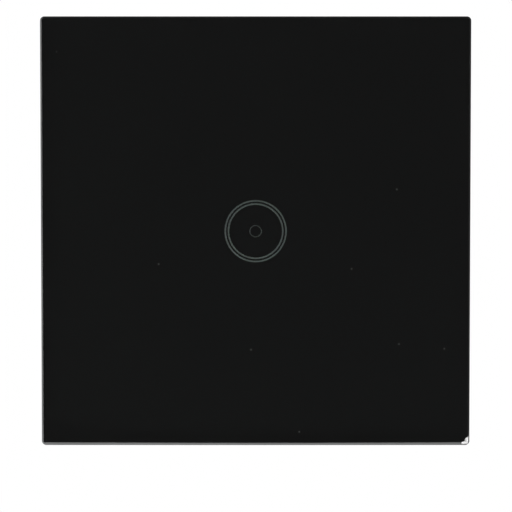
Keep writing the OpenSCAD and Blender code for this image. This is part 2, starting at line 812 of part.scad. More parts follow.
module touch_chip() {
    top = module_z - chip_gap;
    half = chip_size / 2;
    draft = 0.15;
    color([0.12, 0.12, 0.12]) face() translate([0, chip_place, top - half[2]]) intersection() {
        rotate([90, 0, 0]) linear_extrude(chip_size[1], center = true) polygon([
            [half[0], 0], [half[0] - draft, half[2]], [draft - half[0], half[2]],
            [-half[0], 0], [draft - half[0], -half[2]], [half[0] - draft, -half[2]]
        ]);
        rotate([90, 0, 90]) linear_extrude(chip_size[0], center = true) polygon([
            [half[1], 0], [half[1] - draft, half[2]], [draft - half[1], half[2]],
            [-half[1], 0], [draft - half[1], -half[2]], [half[1] - draft, -half[2]]
        ]);
    }
}

module chip_leads() {
    lead_n = 4;
    pitch = chip_size[0] / lead_n;
    half = chip_size[1] / 2;
    t = 0.2;
    lead_w = 0.4;
    foot = 0.5;
    low = module_z - chip_gap - chip_size[2] / 2;
    color([0.8, 0.8, 0.8]) face() for (turn = [0, 180], i = [0 : lead_n - 1])
        translate([0, chip_place, 0]) rotate([0, 0, turn])
            translate([(i - (lead_n - 1) / 2) * pitch, 0, 0]) rotate([90, 0, 90])
                linear_extrude(lead_w, center = true) polygon([
                    [half, low], [half + 2 * t, low], [half + 2 * t, module_z - t],
                    [half + 2 * t + foot, module_z - t], [half + 2 * t + foot, module_z],
                    [half + t, module_z], [half + t, low + t], [half, low + t]
                ]);
}

// Pin positions between the boards
header_xs = [for (i = [0 : header_n - 1]) (i - (header_n - 1) / 2) * header_pitch];
header_l = header_n * header_pitch;
header_top_z = board_front_z + header_h;
pin_top_gap = 1;
pin_top_z = module_z - pin_top_gap;
pin_hole_w = header_pin_w + 2 * pin_fit;

// Square pins, or their holes, from one level to another
module pin_row(w, low, high) {
    for (x = header_xs) span([x - w / 2, header_y - w / 2, low], [x + w / 2, header_y + w / 2, high]);
}

module header_strip(low, high) {
    span([-header_l / 2, header_y - header_w / 2, low], [header_l / 2, header_y + header_w / 2, high]);
}

module board_socket() {
    color([0.14, 0.14, 0.14]) face() difference() {
        header_strip(header_top_z, module_z);
        pin_row(pin_hole_w, header_top_z - past, pin_top_z + 2 * pin_fit);
    }
}

module board_header() {
    color([0.16, 0.16, 0.16]) face() difference() {
        header_strip(board_front_z, header_top_z);
        pin_row(pin_hole_w, board_front_z - past, header_top_z + past);
    }
}

module header_pins() {
    color([0.85, 0.7, 0.35]) face() pin_row(header_pin_w, -board_depth - lead_tail, pin_top_z);
}

// Power board and its parts

module power_board() {
    color([0.13, 0.36, 0.2]) face() difference() {
        translate([0, 0, -board_depth]) linear_extrude(power_board_t)
            polygon(octagon(housing_w, housing_corner, housing_wall + power_board_play));
        pin_row(pin_hole_w, -board_depth - past, board_front_z + past);
        translate([0, 0, -board_depth - past]) linear_extrude(power_board_t + 2 * past) {
            for (p = concat(radial_leads, axial_holes)) translate([p[0], p[1]]) circle(lead_r + lead_fit);
            for (p = relay_holes) translate([relay_x + p[0], relay_y + p[1]]) circle(relay_pin_r + lead_fit);
            for (x = poles) translate([x, bar_leg_y + bar_t / 2]) circle(bar_pin_r + lead_fit);
            for (side = [-1, 1]) translate([side * board_screw_place[0], board_screw_place[1]])
                circle(board_screw_r + screw_fit);
        }
    }
}

module board_screws() {
    reach = power_board_t + board_thread_depth - 1;
    color([0.75, 0.75, 0.74]) face() for (side = [-1, 1])
        translate([side * board_screw_place[0], board_screw_place[1], board_front_z])
            screw(board_screw_r, reach, board_head_size[0], board_head_size[1], recess_w);
}

// Wires at both ends of an axial part, bent down through the board
module axial_leads(half_l, h) {
    for (side = [0, 1]) mirror([side, 0, 0]) translate([half_l, 0, h]) {
        rotate([0, 90, 0]) cylinder(r = lead_r, h = lead_run);
        translate([lead_run, 0, -lead_bend_r]) rotate([90, 0, 0])
            rotate_extrude(angle = 90) translate([lead_bend_r, 0]) circle(lead_r);
        translate([lead_run + lead_bend_r, 0, -h - power_board_t - lead_tail])
            cylinder(r = lead_r, h = h - lead_bend_r + power_board_t + lead_tail);
    }
}

module component_leads() {
    color([0.8, 0.8, 0.78]) face() on_board() {
        for (p = radial_leads) translate([p[0], p[1], -power_board_t - lead_tail])
            cylinder(r = lead_r, h = power_board_t + lead_tail + p[2]);
        translate([relay_x, fuse_y, 0]) axial_leads(fuse_l / 2, fuse_r + axial_lift);
        for (p = resistor_places) translate([p[0], p[1], 0])
            axial_leads(resistor_l / 2, resistor_r + axial_lift);
    }
}

module film_capacitor() {
    c = 0.5;
    half = film_size / 2;
    color([0.85, 0.75, 0.2]) face() on_board() translate([film_x, film_y, 0]) intersection() {
        span([-half[0], -half[1], 0], [half[0], half[1], film_size[2]]);
        rotate([90, 0, 0]) linear_extrude(film_size[1], center = true) polygon([
            [half[0], 0], [half[0], film_size[2] - c], [half[0] - c, film_size[2]],
            [c - half[0], film_size[2]], [-half[0], film_size[2] - c], [-half[0], 0]
        ]);
        rotate([90, 0, 90]) linear_extrude(film_size[0], center = true) polygon([
            [half[1], 0], [half[1], film_size[2] - c], [half[1] - c, film_size[2]],
            [c - half[1], film_size[2]], [-half[1], film_size[2] - c], [-half[1], 0]
        ]);
    }
}

module electrolytic_capacitor() {
    crimp = 0.35;
    crimp_h = 1.6;
    edge = 0.5;
    color([0.12, 0.14, 0.3]) face() on_board() translate([can_x, can_y, 0]) rotate_extrude() polygon([
        [0, 0], [can_r - edge, 0], [can_r, edge], [can_r, crimp_h - crimp], [can_r - crimp, crimp_h],
        [can_r, crimp_h + crimp], [can_r, can_h - edge], [can_r - edge, can_h],
        [can_r - 2 * edge, can_h - edge / 2], [0, can_h - edge / 2]
    ]);
}

module choke() {
    rim = 1.1;
    waist = 0.5;
    color([0.2, 0.18, 0.17]) face() on_board() translate([choke_x, can_y, 0]) rotate_extrude() polygon([
        [0, 0], [choke_r, 0], [choke_r, rim], [choke_r - waist, rim + waist],
        [choke_r - waist, choke_h - rim - waist], [choke_r, choke_h - rim], [choke_r, choke_h], [0, choke_h]
    ]);
}

module varistor() {
    edge = 0.8;
    middle_h = varistor_lift + varistor_r;
    foot = [varistor_pitch + 1.4, 0.6 * varistor_t];
    color([0.15, 0.3, 0.55]) face() on_board() translate([varistor_x, resistor_y, 0]) {
        translate([0, 0, middle_h]) rotate([90, 0, 0]) rotate_extrude() polygon([
            [0, -varistor_t / 2], [varistor_r - edge, -varistor_t / 2], [varistor_r, edge - varistor_t / 2],
            [varistor_r, varistor_t / 2 - edge], [varistor_r - edge, varistor_t / 2], [0, varistor_t / 2]
        ]);
        span([-foot[0] / 2, -foot[1] / 2, varistor_foot_h], [foot[0] / 2, foot[1] / 2, middle_h]);
    }
}

// Body of an axial part: raised caps at the ends of a slimmer barrel
module axial_body(r, l, cap_l, waist) {
    rotate([0, 90, 0]) rotate_extrude() polygon([
        [0, -l / 2], [r, -l / 2], [r, cap_l - l / 2], [r - waist, cap_l - l / 2 + waist],
        [r - waist, l / 2 - cap_l - waist], [r, l / 2 - cap_l], [r, l / 2], [0, l / 2]
    ]);
}

module fuse() {
    color([0.85, 0.84, 0.78]) face() on_board() translate([relay_x, fuse_y, fuse_r + axial_lift])
        axial_body(fuse_r, fuse_l, 2, 0.2);
}

module resistors() {
    color([0.35, 0.55, 0.7]) face() on_board() for (p = resistor_places)
        translate([p[0], p[1], resistor_r + axial_lift]) axial_body(resistor_r, resistor_l, 1.4, 0.15);
}

module rectifier() {
    half = rectifier_size / 2;
    draft = 0.3;
    foot = [0.7, 0.5, 0.3];
    color([0.13, 0.13, 0.13]) face() on_board() translate([rectifier_x, resistor_y, 0]) {
        rotate([90, 0, 90]) linear_extrude(rectifier_size[0], center = true) polygon([
            [half[1], 0], [half[1] - draft, rectifier_size[2]],
            [draft - half[1], rectifier_size[2]], [-half[1], 0]
        ]);
        for (x = [-1, 1], y = [-1, 1]) translate([x * (half[0] - foot[0]), y * half[1], foot[2] / 2])
            cube([foot[0], 2 * foot[1], foot[2]], center = true);
    }
}

// Relay

module relay_case() {
    half = [relay_l / 2, relay_w / 2];
    inner = half - [relay_wall, relay_wall];
    color([0.1, 0.2, 0.45]) face() on_relay() difference() {
        span([-half[0], -half[1], 0], [half[0], half[1], relay_h]);
        span([-inner[0], -inner[1], -past], [inner[0], inner[1], relay_h - relay_wall]);
    }
}

module relay_base() {
    half = [relay_l / 2, relay_w / 2] - (relay_wall + case_fit) * [1, 1];
    color([0.14, 0.14, 0.16]) face() on_relay() difference() {
        span([-half[0], -half[1], 0], [half[0], half[1], relay_base_t]);
        for (p = relay_holes) translate([p[0], p[1], -past])
            cylinder(r = relay_pin_r + thread_fit, h = relay_base_t + 2 * past);
    }
}

module relay_yoke() {
    foot_end = coil_u + pole_r;
    color([0.6, 0.61, 0.63]) face() on_relay() difference() {
        union() {
            span([yoke_u, -yoke_w / 2, relay_base_t], [yoke_u + yoke_t, yoke_w / 2, pole_face_h]);
            span([yoke_u, -yoke_w / 2, relay_base_t], [foot_end, yoke_w / 2, yoke_foot_h]);
        }
        for (p = coil_pins) translate([p[0], p[1], 0])
            cylinder(r = relay_pin_r + screw_fit, h = yoke_foot_h + past);
    }
}

module relay_core() {
    color([0.66, 0.67, 0.68]) face() on_relay() translate([coil_u, 0, 0]) rotate_extrude() polygon([
        [0, yoke_foot_h], [core_r, yoke_foot_h], [core_r, pole_face_h - pole_h],
        [pole_r, pole_face_h - pole_h], [pole_r, pole_face_h], [0, pole_face_h]
    ]);
}

module relay_bobbin() {
    bore = core_r + core_fit;
    tube = bore + bobbin_tube_t;
    top = yoke_foot_h + 2 * bobbin_t + coil_h;
    color([0.9, 0.9, 0.86]) face() on_relay() translate([coil_u, 0, 0]) rotate_extrude() polygon([
        [bore, yoke_foot_h], [bobbin_r, yoke_foot_h], [bobbin_r, yoke_foot_h + bobbin_t],
        [tube, yoke_foot_h + bobbin_t], [tube, top - bobbin_t], [bobbin_r, top - bobbin_t],
        [bobbin_r, top], [bore, top]
    ]);
}

module relay_coil() {
    inner = core_r + core_fit + bobbin_tube_t + core_fit;
    color([0.72, 0.4, 0.2]) face() on_relay() translate([coil_u, 0, yoke_foot_h + bobbin_t])
        ring(coil_r, inner, coil_h);
}

module relay_armature() {
    color([0.62, 0.63, 0.65]) face() on_relay() at_open()
        span([armature_u[0], -yoke_w / 2, hinge_h], [armature_u[1], yoke_w / 2, leaf_h]);
}

module relay_contact_leaf() {
    color([0.8, 0.62, 0.36]) face() on_relay() at_open() {
        span([leaf_u[0], -leaf_w / 2, leaf_h], [leaf_u[1], leaf_w / 2, leaf_h + leaf_t]);
        translate([rivet_u, 0, leaf_h - rivet_drop])
            cylinder(r = rivet_r, h = rivet_drop + leaf_t + rivet_cap);
    }
}

// Fixed contact: an upright blade with an arm that carries a rivet under or over the moving one
module fixed_contact(side, arm_h, rivet_low, rivet_high) {
    reach = 1.2;
    low_v = side < 0 ? -blade_v[1] : blade_v[0];
    arm_low_v = side < 0 ? -blade_v[1] : -reach;
    pin = blade_pins[side < 0 ? 0 : 1];
    high_v = low_v + blade_v[1] - blade_v[0];
    span([blade_u, low_v, relay_base_t], [blade_u + blade_t, high_v, arm_h + blade_t]);
    span([rivet_u - reach, low_v, arm_h], [blade_u + blade_t, high_v, arm_h + blade_t]);
    span([rivet_u - reach, arm_low_v, arm_h],
        [rivet_u + rivet_r, arm_low_v + blade_v[1] + reach, arm_h + blade_t]);
    translate([rivet_u, 0, rivet_low]) cylinder(r = rivet_r, h = rivet_high - rivet_low);
    translate([pin[0], pin[1], -power_board_t - lead_tail])
        cylinder(r = relay_pin_r, h = power_board_t + lead_tail + relay_base_t);
}

module relay_fixed_contacts() {
    make_arm_h = make_h - fixed_rivet_h - blade_t;
    break_arm_h = break_h + fixed_rivet_h;
    color([0.82, 0.66, 0.4]) face() on_relay() {
        fixed_contact(-1, make_arm_h, make_arm_h, make_h);
        fixed_contact(1, break_arm_h, break_h, break_arm_h + blade_t);
    }
}

module relay_pins() {
    color([0.8, 0.8, 0.78]) face() on_relay() {
        for (p = coil_pins) translate([p[0], p[1], -power_board_t - lead_tail])
            cylinder(r = relay_pin_r, h = power_board_t + lead_tail + coil_pin_h);
        translate([common_pin[0], common_pin[1], -power_board_t - lead_tail])
            cylinder(r = relay_pin_r, h = power_board_t + lead_tail + relay_base_t);
    }
}

// Terminals

module terminal_block() {
    entry_w = wire_w + 2 * entry_fit;
    c = housing_inner_chamfer;
    color([0.2, 0.22, 0.24]) face() on_board() difference() {
        rotate([90, 0, 90]) linear_extrude(block_w, center = true) polygon([
            [block_low, 0], [block_high, 0], [block_high, block_h - c], [block_high - c, block_h],
            [block_low + c, block_h], [block_low, block_h - c]
        ]);
        for (x = poles) {
            span([x - chamber_w / 2, chamber_low, -past], [x + chamber_w / 2, chamber_high, roof_h]);
            span([x - entry_w / 2, block_low - past, wire_mid_h - entry_w / 2],
                [x + entry_w / 2, chamber_low + past, wire_mid_h + entry_w / 2]);
            span([x - bar_w / 2 - bar_fit, chamber_high - past, -past],
                [x + bar_w / 2 + bar_fit, bar_leg_y + bar_t + bar_fit, bar_h + bar_t + bar_fit]);
            translate([x, clamp_y, 0]) {
                cylinder(r = clamp_screw_r + clamp_fit, h = block_h);
                translate([0, 0, clamp_head_at - head_gap])
                    cylinder(r = clamp_head_r + well_fit, h = block_h);
            }
        }
    }
}

module terminal_bars() {
    color([0.82, 0.66, 0.36]) face() on_board() for (x = poles) {
        span([x - bar_w / 2, chamber_low + bar_fit, bar_h], [x + bar_w / 2, bar_leg_y + bar_t, bar_h + bar_t]);
        span([x - bar_w / 2, bar_leg_y, 0], [x + bar_w / 2, bar_leg_y + bar_t, bar_h + bar_t]);
        translate([x, bar_leg_y + bar_t / 2, -power_board_t - lead_tail])
            cylinder(r = bar_pin_r, h = power_board_t + lead_tail + bar_h);
    }
}

module terminal_screw(pole) {
    tip_h = bar_h + bar_t + tip_gap;
    color([0.8, 0.8, 0.78]) face() on_board() translate([poles[pole], clamp_y, clamp_head_at])
        screw(clamp_screw_r, clamp_head_at - tip_h, clamp_head_r, clamp_head_h, recess_w);
}

module terminal_cage(pole) {
    x = poles[pole];
    low = clamp_y - cage_l / 2;
    high = clamp_y + cage_l / 2;
    top = cage_top_h + cage_top_t;
    color([0.78, 0.72, 0.55]) face() on_board() difference() {
        span([x - cage_w / 2, low, jaw_h], [x + cage_w / 2, high, top]);
        span([x - wire_w / 2, low - past, wire_h], [x + wire_w / 2, high + past, cage_top_h]);
        translate([x, clamp_y, cage_top_h - past])
            cylinder(r = clamp_screw_r + clamp_fit, h = cage_top_t + 2 * past);
    }
}

glass_panel();
back_print();
touch_mark();
adhesive_tape();
carrier_frame();
mounting_plate();
box_screws();
rear_housing();
module_cover();
module_screws();
light_guide();
touch_board();
touch_pad();
indicator_leds();
touch_chip();
chip_leads();
board_socket();
board_header();
header_pins();
power_board();
board_screws();
component_leads();
film_capacitor();
electrolytic_capacitor();
choke();
varistor();
fuse();
rectifier();
resistors();
relay_base();
relay_case();
relay_bobbin();
relay_coil();
relay_core();
relay_yoke();
relay_fixed_contacts();
relay_pins();
relay_armature();
relay_contact_leaf();
terminal_block();
terminal_bars();
terminal_screw(0);  // terminal_screw_1
terminal_screw(1);  // terminal_screw_2
terminal_screw(2);  // terminal_screw_3
terminal_cage(0);  // terminal_cage_1
terminal_cage(1);  // terminal_cage_2
terminal_cage(2);  // terminal_cage_3
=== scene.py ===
"""Touch light switch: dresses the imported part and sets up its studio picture.

Lengths are in metres in the part's own frame: X right, Y into the wall, Z up, with the origin in the
middle of the wall plane. MM turns a size in millimetres into metres.
"""

import json
import logging
import math
from dataclasses import dataclass
from enum import Enum, IntEnum
from typing import ClassVar, Mapping, Optional, Sequence, Union

import bmesh
import bpy
import numpy as np
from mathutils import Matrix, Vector


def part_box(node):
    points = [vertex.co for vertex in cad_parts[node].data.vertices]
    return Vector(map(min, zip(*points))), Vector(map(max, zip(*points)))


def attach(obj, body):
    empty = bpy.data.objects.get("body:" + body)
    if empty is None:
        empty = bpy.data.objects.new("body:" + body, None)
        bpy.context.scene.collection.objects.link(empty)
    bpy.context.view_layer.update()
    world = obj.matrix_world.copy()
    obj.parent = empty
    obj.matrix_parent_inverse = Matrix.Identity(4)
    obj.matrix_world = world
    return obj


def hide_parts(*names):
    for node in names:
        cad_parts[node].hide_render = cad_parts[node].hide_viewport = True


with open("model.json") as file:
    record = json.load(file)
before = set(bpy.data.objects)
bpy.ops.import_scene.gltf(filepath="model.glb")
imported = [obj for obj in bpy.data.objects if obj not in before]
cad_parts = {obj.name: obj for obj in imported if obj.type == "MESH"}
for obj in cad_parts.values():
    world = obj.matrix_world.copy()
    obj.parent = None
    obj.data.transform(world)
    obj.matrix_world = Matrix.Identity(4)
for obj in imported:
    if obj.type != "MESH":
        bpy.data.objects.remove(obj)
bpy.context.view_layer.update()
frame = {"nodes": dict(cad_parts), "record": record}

MM = 0.001
QUARTER_TURN = math.pi / 2
FULL_TURN = 2 * math.pi
log = logging.getLogger("touch_switch")

Colour = tuple[float, float, float]
Value = Union["Wire", float, Sequence[float]]

WHITE: Colour = (1.0, 1.0, 1.0)
BLACK: Colour = (0.0, 0.0, 0.0)
TIN: Colour = (0.7, 0.7, 0.68)
GLASS_IOR = 1.52

# Width over which a painted border eases, and distance under which two points are one
BORDER = 0.05 * MM
SAME_POINT = 1e-8


class Axis(Enum):
    """The three directions of the part's frame, by their place in a vector."""

    X = 0
    Y = 1
    Z = 2


class Facing(Enum):
    """Which way a screw's head looks, as the frame's directions of the screw's own x, y and z."""

    FRONT = ((1, 0, 0), (0, 0, 1), (0, -1, 0))
    REAR = ((1, 0, 0), (0, 0, -1), (0, 1, 0))


class Drive(Enum):
    """Recess in a screw's head, as the turns of its straight cuts."""

    SLOT = (0.0,)
    CROSS = (0.0, QUARTER_TURN)


class Band(IntEnum):
    """Finishes of the glass pane, by their place in its list."""

    CLEAR = 0
    GROUND = 1
    BROKEN = 2
    PRINTED = 3


# Shader graphs


class Wire:
    """One output socket. Arithmetic on wires and numbers adds the Math nodes for it."""

    def __init__(self, graph: "Graph", socket: bpy.types.NodeSocket) -> None:
        """Holds a socket of a graph."""
        self.graph = graph
        self.socket = socket

    def _math(self, operation: str, first: Value, second: Value) -> "Wire":
        """Adds one Math node.

        Args:
            operation: The node's operation.
            first: First operand.
            second: Second operand.

        Returns:
            The node's result.
        """
        return self.graph.node("ShaderNodeMath", {"operation": operation}, {0: first, 1: second})

    def __add__(self, other: Value) -> "Wire":
        """Sum."""
        return self._math("ADD", self, other)

    __radd__ = __add__

    def __sub__(self, other: Value) -> "Wire":
        """Difference."""
        return self._math("SUBTRACT", self, other)

    def __rsub__(self, other: Value) -> "Wire":
        """Difference from a number."""
        return self._math("SUBTRACT", other, self)

    def __mul__(self, other: Value) -> "Wire":
        """Product."""
        return self._math("MULTIPLY", self, other)

    __rmul__ = __mul__

    def __truediv__(self, other: Value) -> "Wire":
        """Quotient."""
        return self._math("DIVIDE", self, other)

    def __rtruediv__(self, other: Value) -> "Wire":
        """Quotient of a number by this."""
        return self._math("DIVIDE", other, self)

    def __gt__(self, other: Value) -> "Wire":
        """1 where this is larger, else 0."""
        return self._math("GREATER_THAN", self, other)

    def __abs__(self) -> "Wire":
        """Size without its sign."""
        return self._math("ABSOLUTE", self, 0.0)

    def whole(self) -> "Wire":
        """Next lower whole number."""
        return self._math("FLOOR", self, 0.0)

    def angle(self, other: "Wire") -> "Wire":
        """Angle of the point with this as its height and the other as its reach."""
        return self._math("ARCTAN2", self, other)

    def reach(self, other: "Wire") -> "Wire":
        """Square of the distance that has this and the other as its two parts."""
        return self * self + other * other

    def wave(self, length: float) -> "Wire":
        """Back and forth from 0 to 1 and down again over each length."""
        return self._math("PINGPONG", self, length / 2) / (length / 2)

    def swing(self, width: float) -> "Wire":
        """Value round 0.5, turned into one round 0 and scaled by a width."""
        return (self - 0.5) * width

    def smooth(self, low: float, high: float) -> "Wire":
        """Share of the way from low to high, eased at both ends."""
        sockets = {"Value": self, "From Min": low, "From Max": high}
        return self.graph.node("ShaderNodeMapRange", {"interpolation_type": "SMOOTHSTEP"}, sockets)


class Graph:
    """A node tree under construction, with one kind of coordinates at hand, if any."""

    def __init__(self, tree: bpy.types.NodeTree, coordinates: str = "Object") -> None:
        """Empties the tree and adds its coordinates.

        Args:
            tree: The node tree.
            coordinates: Name of the coordinates, or nothing where none are read.
        """
        self.tree = tree
        self.tree.nodes.clear()
        if coordinates:
            self.place = self.node("ShaderNodeTexCoord", out=coordinates)

    def node(
        self,
        kind: str,
        settings: Optional[Mapping[str, object]] = None,
        sockets: Optional[Mapping[Union[str, int], Value]] = None,
        out: Union[str, int] = 0,
    ) -> Wire:
        """Adds any node.

        Args:
            kind: The node's type.
            settings: Properties of the node, which are set first.
            sockets: Values or wires of its inputs, by name or place.
            out: Name or place of the output that is wanted.

        Returns:
            That output.
        """
        made = self.tree.nodes.new(kind)
        for key, value in (settings or {}).items():
            setattr(made, key, value)
        for key, value in (sockets or {}).items():
            if isinstance(value, Wire):
                self.tree.links.new(value.socket, made.inputs[key])
            else:
                made.inputs[key].default_value = value
        return Wire(self, made.outputs[out])

    def end(self, kind: str, result: Wire) -> None:
        """Adds the output node, and leads the result to its first input."""
        self.tree.links.new(result.socket, self.tree.nodes.new(kind).inputs[0])

    def along(self, axis: Axis) -> Wire:
        """Coordinate along one axis."""
        return self.node("ShaderNodeSeparateXYZ", None, {0: self.place}, out=axis.value)

    def facing(self, axis: Axis) -> Wire:
        """How squarely the surface faces along one axis, either way, from 0 to 1."""
        outward = self.node("ShaderNodeTexCoord", out="Normal")
        return abs(self.node("ShaderNodeSeparateXYZ", None, {0: outward}, out=axis.value))

    def stretched(self, stretch: Sequence[float]) -> Wire:
        """Coordinates scaled along each axis."""
        return self.node("ShaderNodeMapping", None, {"Vector": self.place, "Scale": stretch})

    def flat(self, first: Wire, second: Wire) -> Wire:
        """Coordinates in a plane."""
        return self.node("ShaderNodeCombineXYZ", None, {"X": first, "Y": second})

    def chance(self, column: Wire, row: Wire) -> Wire:
        """Even draw from 0 to 1 for each cell of a raster."""
        cell = {"Vector": self.flat(column, row)}
        return self.node("ShaderNodeTexWhiteNoise", {"noise_dimensions": "2D"}, cell)

    def noise(self, size: float, detail: float = 2.0, at: Optional[Wire] = None) -> Wire:
        """Even noise.

        Args:
            size: Width of its features.
            detail: Octaves of finer noise on top.
            at: Coordinates, if other than the piece's own.

        Returns:
            A value round 0.5.
        """
        sockets = {"Vector": at or self.place, "Scale": 1 / size, "Detail": detail}
        return self.node("ShaderNodeTexNoise", None, sockets)

    def mix(self, share: Value, first: Value, second: Value) -> Wire:
        """Colour between two colours."""
        sockets = {0: share, 6: _rgba(first), 7: _rgba(second)}
        return self.node("ShaderNodeMix", {"data_type": "RGBA"}, sockets, out=2)

    def toned(self, share: Value, colour: Colour, factor: float) -> Wire:
        """Colour that goes to its shade by a factor, by the share."""
        return self.mix(share, colour, shade(colour, factor))

    def bump(self, height: Wire, depth: float) -> Wire:
        """Normal of a relief that is depth metres from its lowest to its highest."""
        return self.node("ShaderNodeBump", None, {"Height": height, "Strength": 1.0, "Distance": depth})

    def surface(self, sockets: Mapping[str, Value]) -> Wire:
        """Adds the main shader with these inputs."""
        return self.node("ShaderNodeBsdfPrincipled", None, sockets)


def _rgba(colour: Value) -> Value:
    """Colour with its alpha, where it is a plain one."""
    return colour if isinstance(colour, Wire) else (*colour, 1.0)


def shade(colour: Colour, factor: float, lift: float = 0.0) -> Colour:
    """Colour times a factor, plus a lift."""
    return tuple(channel * factor + lift for channel in colour)


# Finishes


@dataclass(frozen=True)
class Finish:
    """How a surface looks. Each kind of finish says in paint() how its nodes are wired.

    In the finishes a tone is the factor of another shade of the colour, followed by its lift where it
    has one. A share is how far a colour shows, and a field that ends in rough is how far a pattern
    moves the roughness.
    """

    name: str
    colour: Colour
    roughness: float = 0.5
    made: ClassVar[dict[str, bpy.types.Material]] = {}

    def paint(self, graph: Graph) -> Wire:
        """Wires the nodes of the finish.

        Args:
            graph: The material's empty graph.

        Returns:
            The shader that goes to the output.
        """
        raise NotImplementedError

    def material(self) -> bpy.types.Material:
        """The finish's material, made at its first use.

        Returns:
            The material.
        """
        if self.name not in self.made:
            material = bpy.data.materials.new(self.name)
            material.use_nodes = True
            graph = Graph(material.node_tree)
            graph.end("ShaderNodeOutputMaterial", self.paint(graph))
            self.made[self.name] = material
        return self.made[self.name]


@dataclass(frozen=True)
class Patches:
    """Noise that is 0 where it is below low and 1 where it is above high, eased between them."""

    size: float
    low: float
    high: float
    detail: float = 2.0
    stretch: Optional[tuple[float, float, float]] = None

    def on(self, graph: Graph) -> Wire:
        """The patches in a material's graph."""
        at = graph.stretched(self.stretch) if self.stretch else graph.place
        return graph.noise(self.size, self.detail, at).smooth(self.low, self.high)


@dataclass(frozen=True)
class Moulded(Finish):
    """Injection-moulded plastic with the grain of a spark-eroded mould and light scuffs.

    Where pins are given, as x and z, the mould's ejector pins leave shallow round marks.
    """

    grain: float = 0.35 * MM
    depth: float = 0.006 * MM
    scuffs: float = 0.3
    pins: tuple[tuple[float, float], ...] = ()
    pin_radius: float = 1.3 * MM
    pin_floor: float = 0.9
    pin_depth: float = 0.06 * MM
    grain_rough: float = 0.22
    clouds: Patches = Patches(14 * MM, 0.32, 0.68, 3.0)
    cloud_tone: float = 0.94
    scratches: Patches = Patches(1.6 * MM, 0.62, 0.74, 4.0, (1.0, 0.35, 0.12))
    scratch_share: float = 0.5
    scratch_tone: tuple[float, float] = (0.6, 0.06)
    scratch_rough: float = 0.25

    def paint(self, graph: Graph) -> Wire:
        """Slow clouds in the colour, grain in roughness and relief, pin marks, and paler polished scuffs.

        Args:
            graph: The material's empty graph.

        Returns:
            The shader that goes to the output.
        """
        grain = graph.noise(self.grain, 3.0)
        pin_edge, pin_floor = self.pin_radius**2, (self.pin_floor * self.pin_radius) ** 2
        relief = grain
        for x, z in self.pins:
            mark = (graph.along(Axis.X) - x).reach(graph.along(Axis.Z) - z).smooth(pin_edge, pin_floor)
            relief = relief - mark * (self.pin_depth / self.depth)
        scuff = self.scratches.on(graph) * self.scuffs
        base = graph.toned(self.clouds.on(graph), self.colour, self.cloud_tone)
        pale = shade(self.colour, *self.scratch_tone)
        return graph.surface({
            "Base Color": graph.mix(scuff * self.scratch_share, base, pale),
            "Roughness": self.roughness + grain.swing(self.grain_rough) - scuff * self.scratch_rough,
            "Normal": graph.bump(relief, self.depth),
        })


@dataclass(frozen=True)
class Plated(Finish):
    """Bare or plated metal with drawn lines along one axis and clouds in the plating."""

    lines: Axis = Axis.X
    second: Colour = (0.6, 0.62, 0.66)
    line_width: float = 0.22 * MM
    line_depth: float = 0.004 * MM
    line_stretch: float = 0.04
    line_rough: float = 0.24
    clouds: Patches = Patches(3.5 * MM, 0.35, 0.65, 4.0)
    cloud_rough: float = 0.06
    spots: Patches = Patches(0.9 * MM, 0.66, 0.74)
    spot_share: float = 0.35
    spot_tone: float = 0.55
    spot_rough: float = 0.12
    spot_dull: float = 0.15

    def paint(self, graph: Graph) -> Wire:
        """Clouds in colour and roughness, lines in roughness and relief, and a few dull spots.

        Args:
            graph: The material's empty graph.

        Returns:
            The shader that goes to the output.
        """
        stretch = [1.0, 1.0, 1.0]
        stretch[self.lines.value] = self.line_stretch
        line = graph.noise(self.line_width, 3.0, graph.stretched(stretch))
        cloud, spot = self.clouds.on(graph), self.spots.on(graph)
        base = graph.mix(cloud, self.colour, self.second)
        rough = self.roughness + line.swing(self.line_rough) + cloud * self.cloud_rough
        return graph.surface({
            "Base Color": graph.mix(spot * self.spot_share, base, shade(self.colour, self.spot_tone)),
            "Roughness": rough + spot * self.spot_rough,
            "Metallic": 1.0 - spot * self.spot_dull,
            "Normal": graph.bump(line, self.line_depth),
        })


@dataclass(frozen=True)
class Ink(Finish):
    """Screen-printed ink behind the glass, with the odd speck of dust caught in it."""

    specks: float = 0.0
    speck_cell: float = 9 * MM
    speck_rim: tuple[float, float] = (0.02, 0.01)
    speck_odds: tuple[float, float] = (0.86, 0.9)
    dust: Colour = (0.3, 0.3, 0.29)
    screen: float = 0.3 * MM
    screen_tones: tuple[float, float] = (0.92, 1.08)
    screen_rough: float = 0.1
    specular: float = 0.05
    thin_within: float = 0.0
    thin_tone: float = 0.55

    def paint(self, graph: Graph) -> Wire:
        """Fine mesh marks of the screen, and specks in a few cells of a scattered pattern.

        The pattern runs downwards, which puts most of its specks low on the pane. Within a distance
        of the middle the ink is laid thinner.

        Args:
            graph: The material's empty graph.

        Returns:
            The shader that goes to the output.
        """
        mesh = graph.noise(self.screen)
        spread = graph.flat(graph.along(Axis.X), 0 - graph.along(Axis.Z))
        cells = {"Vector": spread, "Scale": 1 / self.speck_cell}
        near, draw = (
            graph.node("ShaderNodeTexVoronoi", {"voronoi_dimensions": "2D"}, cells, out)
            for out in ("Distance", "Color")
        )
        odds = graph.node("ShaderNodeSeparateColor", None, {"Color": draw}, out="Red")
        speck = near.smooth(*self.speck_rim) * odds.smooth(*self.speck_odds) * self.specks
        base = graph.mix(mesh, *(shade(self.colour, tone) for tone in self.screen_tones))
        if self.thin_within:
            outer = graph.along(Axis.X).reach(graph.along(Axis.Z)) > self.thin_within**2
            base = graph.mix(outer, shade(self.colour, self.thin_tone), base)
        return graph.surface({
            "Base Color": graph.mix(speck, base, self.dust),
            "Roughness": self.roughness + mesh.swing(self.screen_rough),
            "Specular IOR Level": self.specular,
        })


